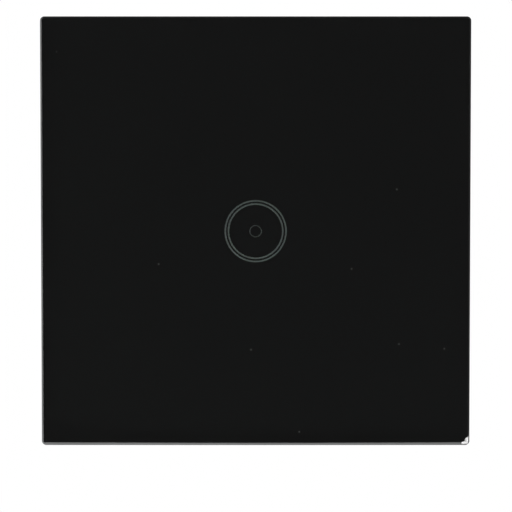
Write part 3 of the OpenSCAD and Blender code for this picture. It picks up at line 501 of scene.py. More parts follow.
@dataclass(frozen=True)
class ClearGlass(Finish):
    """Polished float glass with a trace of green, and faint smears in its gloss."""

    smears: Patches = Patches(16 * MM, 0.55, 0.8, 3.0, (1.0, 1.0, 0.45))
    smear_rough: float = 0.02

    def paint(self, graph: Graph) -> Wire:
        """Clear shader whose roughness rises a little in soft smears.

        Args:
            graph: The material's empty graph.

        Returns:
            The shader that goes to the output.
        """
        return graph.surface({
            "Base Color": _rgba(self.colour),
            "Roughness": self.roughness + self.smears.on(graph) * self.smear_rough,
            "IOR": GLASS_IOR,
            "Transmission Weight": 1.0,
        })


@dataclass(frozen=True)
class GroundGlass(Finish):
    """Glass as the wheel leaves it: grey and dull, with fine grit marks."""

    grit: float = 0.12 * MM
    grit_depth: float = 0.004 * MM
    grit_tone: float = 0.85
    grit_rough: float = 0.2
    drift: Patches = Patches(9 * MM, 0.3, 0.7)
    drift_tone: float = 0.8
    specular: float = 0.1

    def paint(self, graph: Graph) -> Wire:
        """Grit in colour, roughness and relief, over a slow drift of tone.

        Args:
            graph: The material's empty graph.

        Returns:
            The shader that goes to the output.
        """
        grit = graph.noise(self.grit, 3.0)
        base = graph.toned(self.drift.on(graph), self.colour, self.drift_tone)
        return graph.surface({
            "Base Color": graph.mix(grit, shade(self.colour, self.grit_tone), base),
            "Roughness": self.roughness + grit.swing(self.grit_rough),
            "Specular IOR Level": self.specular,
            "Normal": graph.bump(grit, self.grit_depth),
        })


@dataclass(frozen=True)
class BrokenGlass(Finish):
    """Shell-shaped break in glass, white with ripples."""

    ripple: float = 0.25 * MM
    ripple_depth: float = 0.02 * MM
    ripple_rough: float = 0.3
    glints: tuple[float, float] = (0.3, 0.6)
    tone: float = 0.8

    def paint(self, graph: Graph) -> Wire:
        """Ripples in roughness and relief, with paler glints in the colour.

        Args:
            graph: The material's empty graph.

        Returns:
            The shader that goes to the output.
        """
        ripple = graph.noise(self.ripple, 3.0)
        glint = ripple.smooth(*self.glints)
        return graph.surface({
            "Base Color": graph.mix(glint, shade(self.colour, self.tone), self.colour),
            "Roughness": self.roughness + ripple.swing(self.ripple_rough),
            "IOR": GLASS_IOR,
            "Normal": graph.bump(ripple, self.ripple_depth),
        })


@dataclass(frozen=True)
class Frosted(Finish):
    """Milky clear plastic that spreads light."""

    haze: float = 0.25 * MM
    haze_rough: float = 0.2
    cloud: float = 4 * MM
    cloud_tone: float = 0.92
    clearness: float = 0.5

    def paint(self, graph: Graph) -> Wire:
        """Fine haze in the roughness and a slight cloud in the colour.

        Args:
            graph: The material's empty graph.

        Returns:
            The shader that goes to the output.
        """
        return graph.surface({
            "Base Color": graph.toned(graph.noise(self.cloud), self.colour, self.cloud_tone),
            "Roughness": self.roughness + graph.noise(self.haze, 3.0).swing(self.haze_rough),
            "Transmission Weight": self.clearness,
        })


@dataclass(frozen=True)
class Board(Finish):
    """Circuit board: green mask over copper tracks, tinned pads, and bare fibreglass at the edges."""

    pitch: float = 1.27 * MM
    run: float = 11 * MM
    stagger: float = 0.37
    track_rim: tuple[float, float] = (0.2, 0.14)
    track_depth: float = 0.03 * MM
    track_tone: tuple[float, float] = (1.7, 0.008)
    no_track: float = 0.6
    pad_rim: tuple[float, float] = (0.05, 0.04)
    no_pad: float = 0.82
    weave: float = 0.6 * MM
    weave_tone: float = 0.7
    weave_rough: float = 0.15
    fibre: Colour = (0.3, 0.31, 0.13)
    face_rim: tuple[float, float] = (0.5, 0.8)
    sawn_rough: float = 0.3

    def tracks(self, graph: Graph, across: Axis, along: Axis) -> Wire:
        """Straight tracks on a raster, of which each has some runs and not others.

        Args:
            graph: The material's graph.
            across: Axis across the tracks.
            along: Axis along them.

        Returns:
            1 on a track, else 0.
        """
        lane = graph.along(across) / self.pitch
        drawn = abs(lane - lane.whole() - 0.5).smooth(*self.track_rim)
        run = (graph.along(along) / self.run + lane.whole() * self.stagger).whole()
        return drawn * (graph.chance(lane.whole(), run) > self.no_track)

    def pads(self, graph: Graph) -> Wire:
        """Round pads in some cells of a raster.

        Args:
            graph: The material's graph.

        Returns:
            1 on a pad, else 0.
        """
        cells = [graph.along(axis) / (2 * self.pitch) for axis in (Axis.X, Axis.Z)]
        across, up = (cell - cell.whole() - 0.5 for cell in cells)
        chance = graph.chance(*(cell.whole() for cell in cells))
        return across.reach(up).smooth(*self.pad_rim) * (chance > self.no_pad)

    def paint(self, graph: Graph) -> Wire:
        """Tracks show as paler raised lines under the mask, pads as bare tin, and edges as sawn fibre.

        Args:
            graph: The material's empty graph.

        Returns:
            The shader that goes to the output.
        """
        level = self.tracks(graph, Axis.Z, Axis.X)
        upright = self.tracks(graph, Axis.X, Axis.Z)
        face = graph.facing(Axis.Y).smooth(*self.face_rim)
        track = level + upright - level * upright
        pad = self.pads(graph) * face
        weave = graph.noise(self.weave)
        masked = graph.mix(track, self.colour, shade(self.colour, *self.track_tone))
        sawn = graph.toned(weave, self.fibre, self.weave_tone)
        return graph.surface({
            "Base Color": graph.mix(pad, graph.mix(face, sawn, masked), TIN),
            "Roughness": self.roughness + weave.swing(self.weave_rough) + (1 - face) * self.sawn_rough,
            "Metallic": pad,
            "Normal": graph.bump(track, self.track_depth),
        })


@dataclass(frozen=True)
class Capped(Finish):
    """Body whose two ends are of another stuff, such as a fuse's caps or the rims of a wound core."""

    node: str = ""
    axis: Axis = Axis.X
    cap: float = 2 * MM
    cap_colour: Colour = TIN
    metallic: tuple[float, float] = (0.0, 1.0)
    wire: float = 0.0
    wire_depth: float = 0.3
    cloud: float = 1.2 * MM
    cloud_tone: float = 0.8
    cloud_rough: float = 0.2

    def paint(self, graph: Graph) -> Wire:
        """The ends are told by the place along the node's box, and the middle may be wound with wire.

        Args:
            graph: The material's empty graph.

        Returns:
            The shader that goes to the output.
        """
        low, high = (corner[self.axis.value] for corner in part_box(self.node))
        place = graph.along(self.axis)
        bare = (high - low) / 2 - self.cap
        end = abs(place - (low + high) / 2).smooth(bare, bare + BORDER)
        cloud = graph.noise(self.cloud, 3.0)
        body, cap = self.metallic
        sockets = {
            "Base Color": graph.mix(end, graph.toned(cloud, self.colour, self.cloud_tone), self.cap_colour),
            "Roughness": self.roughness + cloud.swing(self.cloud_rough),
            "Metallic": end * (cap - body) + body,
        }
        if self.wire:
            turns = place.wave(self.wire) * (1 - end)
            sockets["Normal"] = graph.bump(turns, self.wire_depth * self.wire)
        return graph.surface(sockets)


@dataclass(frozen=True)
class CanSleeve(Finish):
    """Shrunk sleeve of a round capacitor with one pale stripe, and the bare scored top of its can."""

    node: str = ""
    stripe: Colour = (0.55, 0.57, 0.6)
    stripe_turn: float = 0.35
    stripe_border: float = 0.02
    can: Colour = (0.72, 0.72, 0.73)
    bare: float = 0.76
    bare_rim: float = 0.95
    top: float = 0.6 * MM
    score: float = 0.12 * MM
    score_depth: float = 0.08 * MM
    cloud: float = 1.5 * MM
    cloud_tone: float = 0.85
    cloud_rough: float = 0.15

    def paint(self, graph: Graph) -> Wire:
        """The stripe is told by the angle about the can's axis, the bare top by depth and radius.

        Args:
            graph: The material's empty graph.

        Returns:
            The shader that goes to the output.
        """
        low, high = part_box(self.node)
        middle = (low + high) / 2
        across, up = graph.along(Axis.X) - middle.x, graph.along(Axis.Z) - middle.z
        out = across.reach(up) / (high.x - middle.x) ** 2
        top = graph.along(Axis.Y).smooth(high.y - self.top, high.y - self.top + BORDER)
        bare = top * out.smooth(self.bare**2, self.bare_rim * self.bare**2)
        score = abs(across).smooth(self.score, self.score / 2) + abs(up).smooth(self.score, self.score / 2)
        band = abs(across.angle(up)).smooth(self.stripe_turn + self.stripe_border, self.stripe_turn)
        cloud = graph.noise(self.cloud)
        sleeve = graph.mix(band, graph.toned(cloud, self.colour, self.cloud_tone), self.stripe)
        return graph.surface({
            "Base Color": graph.mix(bare, sleeve, self.can),
            "Roughness": self.roughness + cloud.swing(self.cloud_rough),
            "Metallic": bare,
            "Normal": graph.bump(1 - bare * score, self.score_depth),
        })


@dataclass(frozen=True)
class Striped(Finish):
    """Coat with stripes across one axis, as on a resistor."""

    stripe: Colour = (0.6, 0.6, 0.6)
    pitch: float = 1.3 * MM
    across: Axis = Axis.X
    stripe_rim: tuple[float, float] = (0.7, 0.8)
    cloud: float = 1.5 * MM
    cloud_tone: float = 0.85
    cloud_rough: float = 0.15

    def paint(self, graph: Graph) -> Wire:
        """A stripe where the wave along the axis is high, over a faintly uneven coat.

        Args:
            graph: The material's empty graph.

        Returns:
            The shader that goes to the output.
        """
        band = graph.along(self.across).wave(self.pitch).smooth(*self.stripe_rim)
        cloud = graph.noise(self.cloud)
        return graph.surface({
            "Base Color": graph.mix(band, graph.toned(cloud, self.colour, self.cloud_tone), self.stripe),
            "Roughness": self.roughness + cloud.swing(self.cloud_rough),
        })


@dataclass(frozen=True)
class LitCard(Finish):
    """Pale round studio card with a glow of its own, which fades towards its rim where it is mirrored."""

    glow: float = 0.0
    fade_from: float = 1.2
    fade_to: float = 2.5
    dim_tone: float = 0.4
    cloud: float = 80 * MM
    cloud_tone: float = 0.97

    def paint(self, graph: Graph) -> Wire:
        """A faint cloud in the colour. The fade leaves no hard line in what mirrors the card.

        Args:
            graph: The material's empty graph.

        Returns:
            The shader that goes to the output.
        """
        rim = graph.along(Axis.X).reach(graph.along(Axis.Y)).smooth(self.fade_from**2, self.fade_to**2)
        dim = rim * (1 - graph.node("ShaderNodeLightPath", out="Is Camera Ray"))
        base = graph.toned(graph.noise(self.cloud), self.colour, self.cloud_tone)
        return graph.surface({
            "Base Color": graph.mix(dim, base, shade(self.colour, self.dim_tone)),
            "Roughness": self.roughness,
            "Emission Color": graph.mix(dim, WHITE, BLACK),
            "Emission Strength": self.glow,
        })


CLEAR = ClearGlass("glass_clear", (0.84, 0.94, 0.9), 0.0)
GROUND = GroundGlass("glass_ground", (0.118, 0.121, 0.121), 0.42)
BROKEN = BrokenGlass("glass_broken", (0.95, 0.95, 0.95), 0.3)
FLOOR = LitCard("floor_pale", (0.82, 0.82, 0.815), 0.8, 0.8)
PRINT = Ink("print_black", (0.0006, 0.0006, 0.0006), 0.55, 0.7)
ENAMEL = Plated("enamelled_wire", (0.72, 0.33, 0.16), 0.32, Axis.Z, (0.62, 0.26, 0.11))

# Where the ejector pins touched the housing's rear face
HOUSING_PINS = tuple((x, z) for x in (-14 * MM, 14 * MM) for z in (-7 * MM, 15 * MM))

# Finish of each material slot of the record
FINISHES: dict[str, Finish] = {
    "glass": CLEAR,
    "black_print": PRINT,
    "mark_ink": Ink("mark_grey", (0.172, 0.189, 0.181), 0.5, thin_within=2.5 * MM),
    "tape": Moulded("tape_white", (0.68, 0.68, 0.65), 0.75, 0.2 * MM, 0.02 * MM, 0.0),
    "carrier": Moulded("carrier_black", (0.012, 0.012, 0.0125), 0.46),
    "zinc_steel": Plated("plate_zinc", (0.66, 0.68, 0.7), 0.34, Axis.X, (0.6, 0.61, 0.6)),
    "screw_steel": Plated("screw_zinc", (0.7, 0.7, 0.68), 0.28, Axis.Y, (0.62, 0.61, 0.55)),
    "housing": Moulded("housing_white", (0.73, 0.72, 0.68), 0.4, 0.4 * MM, 0.008 * MM, pins=HOUSING_PINS),
    "cover": Moulded("cover_white", (0.7, 0.7, 0.67), 0.42, 0.4 * MM, 0.008 * MM),
    "light_guide": Frosted("guide_milky", (0.86, 0.89, 0.9), 0.35),
    "board": Board("board_green", (0.012, 0.075, 0.03), 0.35),
    "copper": Plated("copper", (0.8, 0.45, 0.28), 0.3, Axis.X, (0.7, 0.36, 0.22)),
    "led": Frosted("led_lens", (0.9, 0.86, 0.6), 0.3),
    "chip": Moulded("chip_epoxy", (0.014, 0.014, 0.014), 0.5, 0.15 * MM, 0.003 * MM, 0.0),
    "tinned": Plated("tinned_wire", (0.72, 0.72, 0.7), 0.3, Axis.Y, (0.62, 0.62, 0.6)),
    "gilt": Plated("gilt_pin", (0.85, 0.66, 0.3), 0.25, Axis.Y, (0.75, 0.55, 0.22)),
    "film_case": Moulded("film_yellow", (0.72, 0.52, 0.06), 0.4, 0.3 * MM, 0.005 * MM, 0.1),
    "can_sleeve": CanSleeve("can_sleeve", (0.014, 0.018, 0.07), 0.32, "electrolytic_capacitor"),
    "ferrite": Capped(
        "wound_core", (0.62, 0.26, 0.12), 0.4, "choke", Axis.Y, cap=1.3 * MM,
        cap_colour=(0.03, 0.028, 0.027), metallic=(1.0, 0.0), wire=0.4 * MM,
    ),
    "varistor_coat": Moulded("varistor_blue", (0.02, 0.08, 0.26), 0.3, 0.8 * MM, 0.02 * MM, 0.1),
    "fuse_body": Capped("fuse_ceramic", (0.7, 0.69, 0.62), 0.4, "fuse"),
    "resistor_coat": Striped("resistor_coat", (0.09, 0.26, 0.42), 0.4, (0.3, 0.05, 0.02)),
    "relay_moulding": Moulded("relay_black", (0.016, 0.016, 0.018), 0.45),
    "relay_case": Moulded("relay_blue", (0.012, 0.04, 0.2), 0.3, 0.5 * MM, 0.003 * MM, 0.2),
    "bobbin": Moulded("bobbin_cream", (0.72, 0.7, 0.6), 0.45),
    "soft_iron": Plated("soft_iron", (0.52, 0.53, 0.55), 0.36, Axis.Z, (0.45, 0.46, 0.47)),
    "contact_bronze": Plated("bronze", (0.74, 0.5, 0.26), 0.3, Axis.X, (0.66, 0.42, 0.2)),
    "block": Moulded("block_grey", (0.03, 0.033, 0.037), 0.5, 0.3 * MM, 0.006 * MM, 0.2),
    "terminal_brass": Plated("brass", (0.78, 0.58, 0.26), 0.3, Axis.Y, (0.7, 0.49, 0.2)),
}

# Rounding of the moulded and stamped edges of the pieces that show
EDGE_ROUNDS: dict[str, float] = {
    "rear_housing": 0.3 * MM,
    "module_cover": 0.2 * MM,
    "carrier_frame": 0.2 * MM,
    "mounting_plate": 0.12 * MM,
    "terminal_block": 0.12 * MM,
    **{f"terminal_cage_{number}": 0.12 * MM for number in (1, 2, 3)},
    "film_capacitor": 0.3 * MM,
    "relay_case": 0.3 * MM,
    "relay_yoke": 0.1 * MM,
    "rectifier": 0.1 * MM,
    "board_socket": 0.1 * MM,
}


# Surfaces


@dataclass
class Surface:
    """Points and faces of a piece, with the place of each face's finish in the piece's list."""

    points: np.ndarray
    faces: list[list[int]]
    finish_of: Optional[np.ndarray] = None

    def piece(self, name: str, finishes: Sequence[Finish], sharp: float = 32.0) -> bpy.types.Object:
        """Makes the surface an object, with doubles merged and faces turned outwards.

        Args:
            name: Name of the piece.
            finishes: Finishes of its faces.
            sharp: Angle in degrees from which an edge is sharp.

        Returns:
            The object, which sits at the origin.
        """
        mesh = bpy.data.meshes.new(name)
        mesh.from_pydata(self.points.tolist(), [], self.faces)
        for finish in finishes:
            mesh.materials.append(finish.material())
        if self.finish_of is not None:
            mesh.polygons.foreach_set("material_index", self.finish_of.astype(np.int32))
        shell = bmesh.new()
        shell.from_mesh(mesh)
        bmesh.ops.remove_doubles(shell, verts=shell.verts, dist=SAME_POINT)
        bmesh.ops.recalc_face_normals(shell, faces=shell.faces)
        shell.to_mesh(mesh)
        shell.free()
        mesh.polygons.foreach_set("use_smooth", np.ones(len(mesh.polygons), bool))
        mesh.set_sharp_from_angle(angle=math.radians(sharp))
        made = bpy.data.objects.new(name, mesh)
        bpy.context.scene.collection.objects.link(made)
        return made


def grid_faces(rows: int, columns: int) -> np.ndarray:
    """Four-sided faces of a grid whose columns close into a ring.

    Args:
        rows: Rows of points.
        columns: Points in a row.

    Returns:
        One row of four point numbers for each face.
    """
    row, column = np.meshgrid(np.arange(rows - 1), np.arange(columns), indexing="ij")
    after = (column + 1) % columns
    corners = [row * columns + column, row * columns + after,
               (row + 1) * columns + after, (row + 1) * columns + column]
    return np.stack(corners, axis=-1).reshape(-1, 4)


@dataclass(frozen=True)
class Helix:
    """Groove that winds round a turned piece."""

    pitch: float
    depth: float
    low: float
    high: float
    crest: float = 0.0625
    flank: float = 0.3125
    lead: float = 0.35
    most: float = 0.4

    def cut(self, height: np.ndarray, angle: np.ndarray) -> np.ndarray:
        """Depth of the groove below the crest.

        The phase is the fraction of height over pitch less the share of a turn. The depth is zero
        on the crest, rises along a straight flank and is full at the root, and it fades out over
        one pitch at both ends.

        Args:
            height: Height of each point.
            angle: Angle of each point.

        Returns:
            Depth at each point.
        """
        phase = np.mod(height / self.pitch - angle / FULL_TURN, 1.0)
        away = np.minimum(phase, 1.0 - phase)
        groove = np.clip((away - self.crest) / self.flank, 0.0, 1.0)
        run_in = np.clip((height - self.low) / self.pitch + self.lead, 0.0, 1.0)
        run_out = np.clip((self.high - height) / self.pitch, 0.0, 1.0)
        return self.depth * groove * run_in * run_out


def turned(profile: np.ndarray, columns: int, helix: Optional[Helix] = None) -> Surface:
    """Surface of revolution about z.

    A point of row i and column j has the angle j over the columns of a full turn, the height of the
    profile's row and its radius, less the helix's cut there.

    Args:
        profile: Rows of radius and height.
        columns: Points in a turn.
        helix: Groove cut into the surface, if any.

    Returns:
        The surface.
    """
    angle = np.arange(columns) * (FULL_TURN / columns)
    radius = np.repeat(profile[:, :1], columns, axis=1)
    height = np.repeat(profile[:, 1:], columns, axis=1)
    if helix is not None:
        radius = radius - np.minimum(helix.cut(height, angle), helix.most * radius)
    points = np.stack([radius * np.cos(angle), radius * np.sin(angle), height], axis=-1)
    return Surface(points.reshape(-1, 3), grid_faces(len(profile), columns).tolist())


def wedge(
    half_length: float, half_width: float, low: float, high: float, taper: float, turn: float
) -> Surface:
    """Straight cutter whose floor is narrower than its mouth by taper on each side.

    Args:
        half_length: Half of its length at the mouth.
        half_width: Half of its width at the mouth.
        low: Height of the floor.
        high: Height of the mouth.
        taper: How far each side leans in at the floor.
        turn: Angle of its length from x.

    Returns:
        The closed surface.
    """
    side = np.array([[-1, -1], [1, -1], [1, 1], [-1, 1]], float)
    mouth = side * [half_length, half_width]
    floor = side * [half_length - taper, half_width - taper]
    flat = np.vstack([floor, mouth]) @ np.array(
        [[math.cos(turn), math.sin(turn)], [-math.sin(turn), math.cos(turn)]]
    )
    points = np.column_stack([flat, np.repeat([low, high], 4)])
    walls = [[i, (i + 1) % 4, 4 + (i + 1) % 4, 4 + i] for i in range(4)]
    return Surface(points, [[3, 2, 1, 0], [4, 5, 6, 7], *walls])


def carve(piece: bpy.types.Object, cutter: bpy.types.Object) -> None:
    """Cuts one object out of another, and removes the cutter.

    Args:
        piece: The object that is cut.
        cutter: The shape that is taken out of it.
    """
    cut = piece.modifiers.new("recess", "BOOLEAN")
    cut.operation, cut.solver, cut.object = "DIFFERENCE", "EXACT", cutter
    scene_graph = bpy.context.evaluated_depsgraph_get()
    carved = bpy.data.meshes.new_from_object(piece.evaluated_get(scene_graph))
    piece.modifiers.clear()
    piece.data = carved
    bpy.data.objects.remove(cutter)


# Pieces


@dataclass
class GlassPanel:
    """Square pane with round corners, a ground bevel in front, an arris behind and one chipped corner.

    The rows of points are close near the edges, where the chip is, and wide elsewhere. They are given
    in millimetres, the close ones as the first, the end and the step. The chip's waves are given as
    their share of its reach, their number in a turn and their phase.
    """

    width: float = 80 * MM
    corner: float = 0.8 * MM
    least_corner: float = 0.1 * MM
    bevel: float = 0.5 * MM
    bevel_shares: tuple[float, float, float] = (0.64, 0.31, 0.2)
    arris: float = 0.2 * MM
    bond: float = 0.02 * MM
    arc_steps: int = 12
    edge_steps: int = 8
    side_rows: tuple[float, float, float] = (0.05, 1.8, 0.05)
    wide_rows: tuple[float, ...] = (2.4, 4.0, 8.0, 16.0, 28.0)
    face_rows: tuple[float, float, float] = (0.65, 1.9, 0.05)
    inner_row: float = 2.4
    chip_reach: float = 1.45 * MM
    chip_depth: float = 0.45 * MM
    chip_rim: float = 0.18 * MM
    chip_waves: tuple[tuple[float, int, float], ...] = (
        (0.16, 4, QUARTER_TURN), (0.12, 1, 0.0), (0.04, 9, 1.0), (0.02, 17, 0.0),
    )
    sharp: float = 20.0

    def outline(self) -> tuple[np.ndarray, np.ndarray]:
        """Path round a square with round corners.

        A point of the path is the corner's place times its reach plus the outward direction times
        its radius. Along a straight side the places of its two corners are blended.

        Returns:
            Places of the corners and outward directions, one row of x and z for each point.
        """
        near = np.concatenate([np.arange(*self.side_rows), self.wide_rows]) * MM / self.width
        share = np.concatenate([near, [0.5], 1 - near[::-1]])
        arc = np.linspace(0, QUARTER_TURN, self.arc_steps + 1)
        signs = np.array([[1, 1], [-1, 1], [-1, -1], [1, -1]], float)
        places, ways = [], []
        for k in range(4):
            angle = arc + k * QUARTER_TURN
            way = np.column_stack([np.cos(angle), np.sin(angle)])
            side = signs[k] + share[:, None] * (signs[(k + 1) % 4] - signs[k])
            places += [np.repeat(signs[k:k + 1], len(arc), axis=0), side]
            ways += [way, np.repeat(way[-1:], len(share), axis=0)]
        return np.vstack(places), np.vstack(ways)

    def bevel_share(self, places: np.ndarray, ways: np.ndarray) -> np.ndarray:
        """Width of the hand-ground bevel round the pane, as shares of its full width.

        It has one share all round, and along the lower edge a second one is added, and a third that
        grows with the square of the distance from that edge's middle.

        Args:
            places: Places of the corners, from outline().
            ways: Outward directions, from outline().

        Returns:
            One share for each point of the outline.
        """
        around, below, towards_corners = self.bevel_shares
        lower = np.maximum(-ways[:, 1], 0) ** 2
        return around + lower * (below + towards_corners * places[:, 0] ** 2)

    def rings(self, front: float, back: float) -> tuple[np.ndarray, np.ndarray]:
        """Rings from the rear face round the edge to the front face.

        Args:
            front: Y of the front face.
            back: Y of the rear face.

        Returns:
            Rows of inset and y, and the finish of the band after each ring.
        """
        side = np.linspace(back - self.arris, front + self.bevel, self.edge_steps + 1)
        slope = np.linspace(0, 1, self.edge_steps + 1)[1:]
        face = np.append(np.arange(*self.face_rows), self.inner_row) * MM
        inset = np.concatenate([[face[-1], self.arris], np.zeros(len(side)), self.bevel * slope, face])
        depth = np.concatenate(
            [[back, back], side, front + self.bevel * (1 - slope), np.full(len(face), front)]
        )
        counts = [2, self.edge_steps, self.edge_steps, len(face)]
        band = np.repeat([Band.PRINTED, Band.CLEAR, Band.GROUND, Band.CLEAR], counts)
        return np.column_stack([inset, depth]), band

    def chip(self, points: np.ndarray, corner: np.ndarray) -> tuple[np.ndarray, np.ndarray]:
        """Breaks a shell-shaped chip out of a front corner.

        The chip's reach from the corner is one plus the sum of its waves at that angle: longest along
        the two sides, shortest between them, and a little uneven. Its depth falls with the square of
        the distance over the reach, and points that are nearer to the front than that are pushed back
        to it. A rim along the edge stays whole.

        Args:
            points: Points of the pane.
            corner: The corner's place in the front plane.

        Returns:
            The moved points, and which of them moved.
        """
        across, up = points[:, 0] - corner[0], points[:, 2] - corner[2]
        angle = np.arctan2(up, across)
        waves = sum(share * np.sin(count * angle + phase) for share, count, phase in self.chip_waves)
        reach = self.chip_reach * (1 + waves)
        depth = self.chip_depth * (1 - (across**2 + up**2) / reach**2)
        floor = corner[1] + self.chip_rim + depth
        inside = np.minimum(-across, up) > self.chip_rim
        moved = (depth > 0) & inside & (points[:, 1] < floor)
        broken = points.copy()
        broken[:, 1] = np.where(moved, floor, points[:, 1])
        return broken, moved

    def build(self) -> bpy.types.Object:
        """Makes the pane in place of its plain solid.

        Returns:
            The piece.
        """
        low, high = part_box("glass_panel")
        half = high.x
        rings, band = self.rings(low.y, high.y + self.bond)
        places, ways = self.outline()
        on_bevel = (rings[:, 0] <= self.bevel) & (rings[:, 1] <= low.y + self.bevel + SAME_POINT)
        share = np.where(on_bevel[:, None], self.bevel_share(places, ways), 1.0)
        inset = rings[:, :1] * share
        radius = np.maximum(self.corner - inset, self.least_corner)[..., None]
        flat = (half - inset[..., None] - radius) * places + radius * ways
        depth = low.y + (rings[:, 1:] - low.y) * share
        points = np.stack([flat[..., 0], depth, flat[..., 1]], axis=-1).reshape(-1, 3)
        points, moved = self.chip(points, np.array([half, low.y, low.z]))
        count = len(places)
        faces = grid_faces(len(rings), count)
        finish = np.repeat(band, count)
        finish[moved[faces].all(axis=1)] = Band.BROKEN
        last = (len(rings) - 1) * count
        caps = [list(range(count)), list(range(last, last + count))]
        surface = Surface(points, faces.tolist() + caps, np.append(finish, [Band.CLEAR] * len(caps)))
        pane = surface.piece("glass_pane", (CLEAR, GROUND, BROKEN, PRINT), self.sharp)
        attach(pane, "panel")
        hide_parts("glass_panel")
        return pane


@dataclass
class ScrewSet:
    """Screws of one node: turned head, neck and threaded shank, with a recess for the driver.

    The recess has a share of the head's radius and height, and the thread a share of its pitch. The
    tip is turned down by one part in tip_part of the radius.
    """

    node: str
    places: Sequence[tuple[float, float]]
    under_head: float
    reach: float
    radius: float
    pitch: float
    head_radius: float
    head_height: float
    body: str = "base"
    facing: Facing = Facing.FRONT
    drive: Drive = Drive.CROSS
    neck: float = 0.0
    neck_radius: float = 0.0
    edge: float = 0.08 * MM
    shoulder: tuple[float, float] = (0.7, 0.5)
    shoulder_rows: int = 7
    thread_depth: float = 0.6
    thread_rows: int = 8
    tip_part: int = 3
    recess_width: float = 0.7 * MM
    recess_share: float = 0.6
    recess_depth: float = 0.55
    recess_taper: float = 0.04 * MM
    cutter_over: float = 1 * MM
    columns: int = 48

    @property
    def name(self) -> str:
        """Name of the piece."""
        return f"{self.node}_threaded"

    def profile(self) -> np.ndarray:
        """Rows of radius and height from the tip's middle to the head's middle.

        The shank has a few rows to a turn of the thread. The head's shoulder is a quarter of an
        ellipse from its side to its flat top.

        Returns:
            The rows.
        """
        start = -self.reach + self.radius / self.tip_part
        rows = np.arange(start, -self.neck, self.pitch / self.thread_rows)
        shank = np.column_stack([np.full(len(rows), self.radius), rows])
        neck_radius = self.neck_radius or self.radius
        bend = np.linspace(0, QUARTER_TURN, self.shoulder_rows)
        flat, side = self.shoulder[0] * self.head_radius, self.shoulder[1] * self.head_height
        shoulder = np.column_stack([
            flat + (self.head_radius - flat) * np.cos(bend), side + (self.head_height - side) * np.sin(bend)
        ])
        tip = [[0, -self.reach], [self.radius * (self.tip_part - 1) / self.tip_part, -self.reach]]
        neck = [[neck_radius, -self.neck], [neck_radius, 0], [self.head_radius - self.edge, 0],
                [self.head_radius, self.edge]]
        return np.vstack([tip, shank, neck, shoulder, [[0, self.head_height]]])

    def one(self, number: int, place: tuple[float, float]) -> Surface:
        """Makes one screw in its place.

        Args:
            number: Number of the screw in the set.
            place: X and z of its axis.

        Returns:
            The screw's surface.
        """
        helix = Helix(self.pitch, self.thread_depth * self.pitch, -self.reach, -self.neck)
        screw = turned(self.profile(), self.columns, helix).piece(f"{self.name}_{number}", ())
        length = self.recess_share * self.head_radius
        floor, mouth = self.head_height * (1 - self.recess_depth), self.head_height + self.cutter_over
        for turn in self.drive.value:
            cutter = wedge(length, self.recess_width / 2, floor, mouth, self.recess_taper, turn)
            carve(screw, cutter.piece("cutter", ()))
        mesh = screw.data
        points = np.empty(len(mesh.vertices) * 3)
        mesh.vertices.foreach_get("co", points)
        turned_points = points.reshape(-1, 3) @ np.array(self.facing.value, float)
        faces = [list(face.vertices) for face in mesh.polygons]
        bpy.data.objects.remove(screw)
        return Surface(turned_points + [place[0], self.under_head, place[1]], faces)

    def build(self) -> bpy.types.Object:
        """Makes the screws as one piece in place of their node.

        Returns:
            The piece.
        """
        made = [self.one(number, place) for number, place in enumerate(self.places)]
        starts = np.cumsum([0] + [len(screw.points) for screw in made])
        faces = [[start + i for i in face] for start, screw in zip(starts, made) for face in screw.faces]
        points = np.vstack([screw.points for screw in made])
        piece = Surface(points, faces).piece(self.name, (FINISHES["screw_steel"],))
        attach(piece, self.body)
        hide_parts(self.node)
        return piece


@dataclass
class RelayCoil:
    """Winding of enamelled wire on the relay's bobbin, whose turns show on the outside."""

    wire: float = 0.3 * MM
    groove: float = 0.35
    crest: float = 0.08
    flank: float = 0.42
    bore: float = 2.7 * MM
    rows_to_turn: int = 6
    columns: int = 72
    sharp: float = 60.0

    def build(self) -> bpy.types.Object:
        """Makes the winding in place of its plain solid.

        Returns:
            The piece.
        """
        low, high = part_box("relay_coil")
        middle, half = (low + high) / 2, (high - low) / 2
        rows = np.append(np.arange(-half.y, half.y, self.wire / self.rows_to_turn), half.y)
        outer = np.column_stack([np.full(len(rows), half.x), rows])
        bore = [[self.bore, half.y], [self.bore, -half.y]]
        profile = np.vstack([bore[1:], outer, bore])
        depth = self.groove * self.wire
        helix = Helix(self.wire, depth, -half.y - self.wire, half.y, self.crest, self.flank)
        surface = turned(profile, self.columns, helix)
        points = surface.points @ np.array(Facing.REAR.value, float) + np.array(middle)
        coil = Surface(points, surface.faces).piece("relay_winding", (ENAMEL,), self.sharp)
        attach(coil, "base")
        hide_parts("relay_coil")
        return coil


